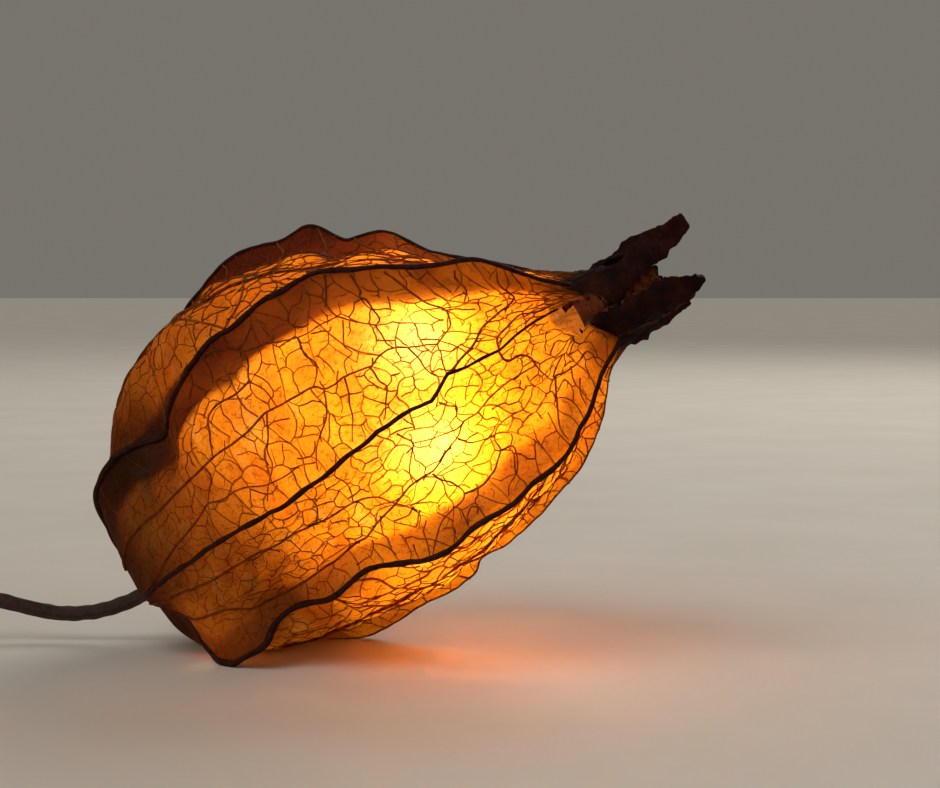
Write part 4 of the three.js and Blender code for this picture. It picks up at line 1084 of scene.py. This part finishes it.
def capped_rings(points):
    """Faces of a tube of rings with both ends closed."""
    rows, columns = points.shape[:2]
    last = (rows - 1) * columns
    caps = [list(range(columns))[::-1], list(range(last, last + columns))]
    return grid_faces(rows, columns, True).tolist() + caps


def berry_piece(material):
    """Round fruit with a dimple at its seat, a small scar at the far end and slight unevenness."""
    polar = np.linspace(0.012, math.pi - 0.012, 80)[:, None]
    spin = np.linspace(0, math.tau, 110, endpoint=False)[None, :]
    wide = np.sin(polar)
    way = np.stack(np.broadcast_arrays(np.cos(polar), wide * np.sin(spin), wide * np.cos(spin)), -1)
    radius = BERRY_RADIUS * (1 + 0.004 * hills(way, 1.4, 41))
    for (depth, reach), away in ((DIMPLE, polar), (SCAR, math.pi - polar)):
        radius = radius - depth * np.exp(-((away / reach) ** 2))
    points = in_space(BERRY_CENTRE - radius * way[..., 0], radius * way[..., 1], radius * way[..., 2])
    return face_outwards(mesh_piece("berry_skin", points.reshape(-1, 3), capped_rings(points), material))


def stem_piece(material):
    """Stalk and receptacle: a wrinkled rod along the solid's route and a small cone that bears the fruit."""
    seat = BERRY_CENTRE - BERRY_RADIUS - 0.3
    route = [in_space(z, 0.0, 0.0) for z in (seat - 0.6, 0.6, -0.4)]
    route += [BASE + np.array(step) for step in STEM_ROUTE]
    s = np.linspace(0, 1, 170)
    centre = SmoothPath(route).along(s)
    forward = np.gradient(centre, axis=0)
    forward /= np.linalg.norm(forward, axis=1, keepdims=True)
    aside = np.cross(forward, [0, 0, 1.0])
    aside /= np.linalg.norm(aside, axis=1, keepdims=True)
    over = np.cross(aside, forward)
    turn = np.linspace(0, math.tau, 24, endpoint=False)
    round_rod = (1.5 * np.cos(turn)[None, :], 1.5 * np.sin(turn)[None, :])
    place = np.stack(np.broadcast_arrays(40 * s[:, None], *round_rod), -1)
    wrinkles = 0.07 * np.cos(5 * turn[None, :] + 5 * s[:, None]) + 0.06 * hills(place, 2.2, 51)
    radius = STEM_RADIUS * (0.97 + wrinkles + 0.1 * smoothstep(s, 0.95, 1.0)[:, None])
    ring = np.cos(turn)[None, :, None] * aside[:, None] + np.sin(turn)[None, :, None] * over[:, None]
    rod = centre[:, None] + radius[..., None] * ring
    low = 1.5
    profile = np.array([(0.05, low), (0.7, low), (1.2, low + 0.2), (1.6, low + 0.45), (1.85, seat - 0.6),
                        (RECEPTACLE_RADIUS, seat - 0.3), (1.85, seat - 0.12), (1.2, seat), (0.05, seat)])
    spin = np.linspace(0, math.tau, 40, endpoint=False)[None, :]
    r = profile[:, :1] * (1 + 0.05 * np.cos(5 * spin) * (profile[:, :1] > 0.5))
    cone = in_space(profile[:, 1:] + 0 * spin, r * np.sin(spin), r * np.cos(spin))
    first = rod.shape[0] * rod.shape[1]
    faces = capped_rings(rod) + [[v + first for v in face] for face in capped_rings(cone)]
    points = np.concatenate([rod.reshape(-1, 3), cone.reshape(-1, 3)])
    return face_outwards(mesh_piece("stem_stalk", points, faces, material))


# Stage

def add_light(name, kind, place, power, colour, size):
    """A lamp that looks at the husk, its place and size in millimetres, or for a sun its size in degrees."""
    light = bpy.data.lights.new(name, kind)
    light.energy, light.color = power, colour
    obj = bpy.data.objects.new(name, light)
    bpy.context.scene.collection.objects.link(obj)
    obj.location = np.array(place) * MM
    obj.rotation_euler = Vector(np.array((0, 0, 15.0)) - np.array(place)).to_track_quat("-Z", "Y").to_euler()
    if kind == "SUN":
        light.angle = math.radians(size)
    elif kind == "AREA":
        light.shape, light.size = "DISK", size * MM
    else:
        light.shadow_soft_size = size * MM
        obj.visible_camera = False


def make_stage():
    corners = [(-FLOOR, -FLOOR, 0), (FLOOR, -FLOOR, 0), (FLOOR, FLOOR, 0), (-FLOOR, FLOOR, 0)]
    mesh_piece("floor", corners, [(0, 1, 2, 3)], floor_material())
    world = bpy.data.worlds.new("studio")
    bpy.context.scene.world = world
    world.use_nodes = True
    background = world.node_tree.nodes["Background"]
    background.inputs["Color"].default_value = linear("#CFC8BE")
    background.inputs["Strength"].default_value = 0.3
    for name, lamp in STUDIO_LAMPS.items():
        add_light(name, *lamp)
    for name, (place, power, size) in GLOW_LAMPS.items():
        add_light(name, "POINT", in_space(*place), power, AMBER, size)
    bpy.context.scene.view_settings.view_transform = "Standard"


def make_camera():
    """The photograph's view: level with the table, 85 mm lens, 160 mm in front of the husk."""
    data = bpy.data.cameras.new("view")
    data.lens, data.sensor_width, data.clip_start, data.clip_end = 85.0, 36.0, 0.001, 10.0
    camera = bpy.data.objects.new("view", data)
    bpy.context.scene.collection.objects.link(camera)
    camera.location = (BASE + np.array(CAMERA)) * MM
    camera.rotation_euler = (math.radians(90 - CAMERA_DOWN), 0, 0)
    bpy.context.scene.camera = camera


make_camera()
make_stage()
sheet = FilmSheet()
strand_tree = vein_tree()
rib_set, long_set = trace_ribs(sheet)
vein_set, net_set, thread_set = trace_net(sheet)
pieces = [(film_piece(sheet, film_material()), "husk"), (lobes_piece(lobe_material()), "husk")]
# Strands: their sides, and their material with its dark and light colour and how much light it lets through
for name, strands, sides, finish in (
        ("husk_ribs", rib_set, 8, ("dried_rib", "#1C0803", "#471C0A", 0.2)),
        ("husk_long_veins", long_set, 7, ("dried_long_vein", "#74340C", "#B2681C", 0.6)),
        ("husk_veins", vein_set, 5, ("dried_vein", "#A4662E", "#DC9E50", 0.78)),
        ("husk_net", net_set, 3, ("dried_fine_vein", "#7E4214", "#B06A20", 0.6)),
        ("husk_threads", thread_set, 3, ("dried_thread", "#7E4214", "#B06A20", 0.55))):
    pieces.append((vein_piece(name, strands, sides, vein_material(*finish), strand_tree), "husk"))
pieces += [(berry_piece(berry_material()), "berry"), (stem_piece(stem_material()), "stem")]
for piece, node in pieces:
    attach(piece, "root")
    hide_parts(node)
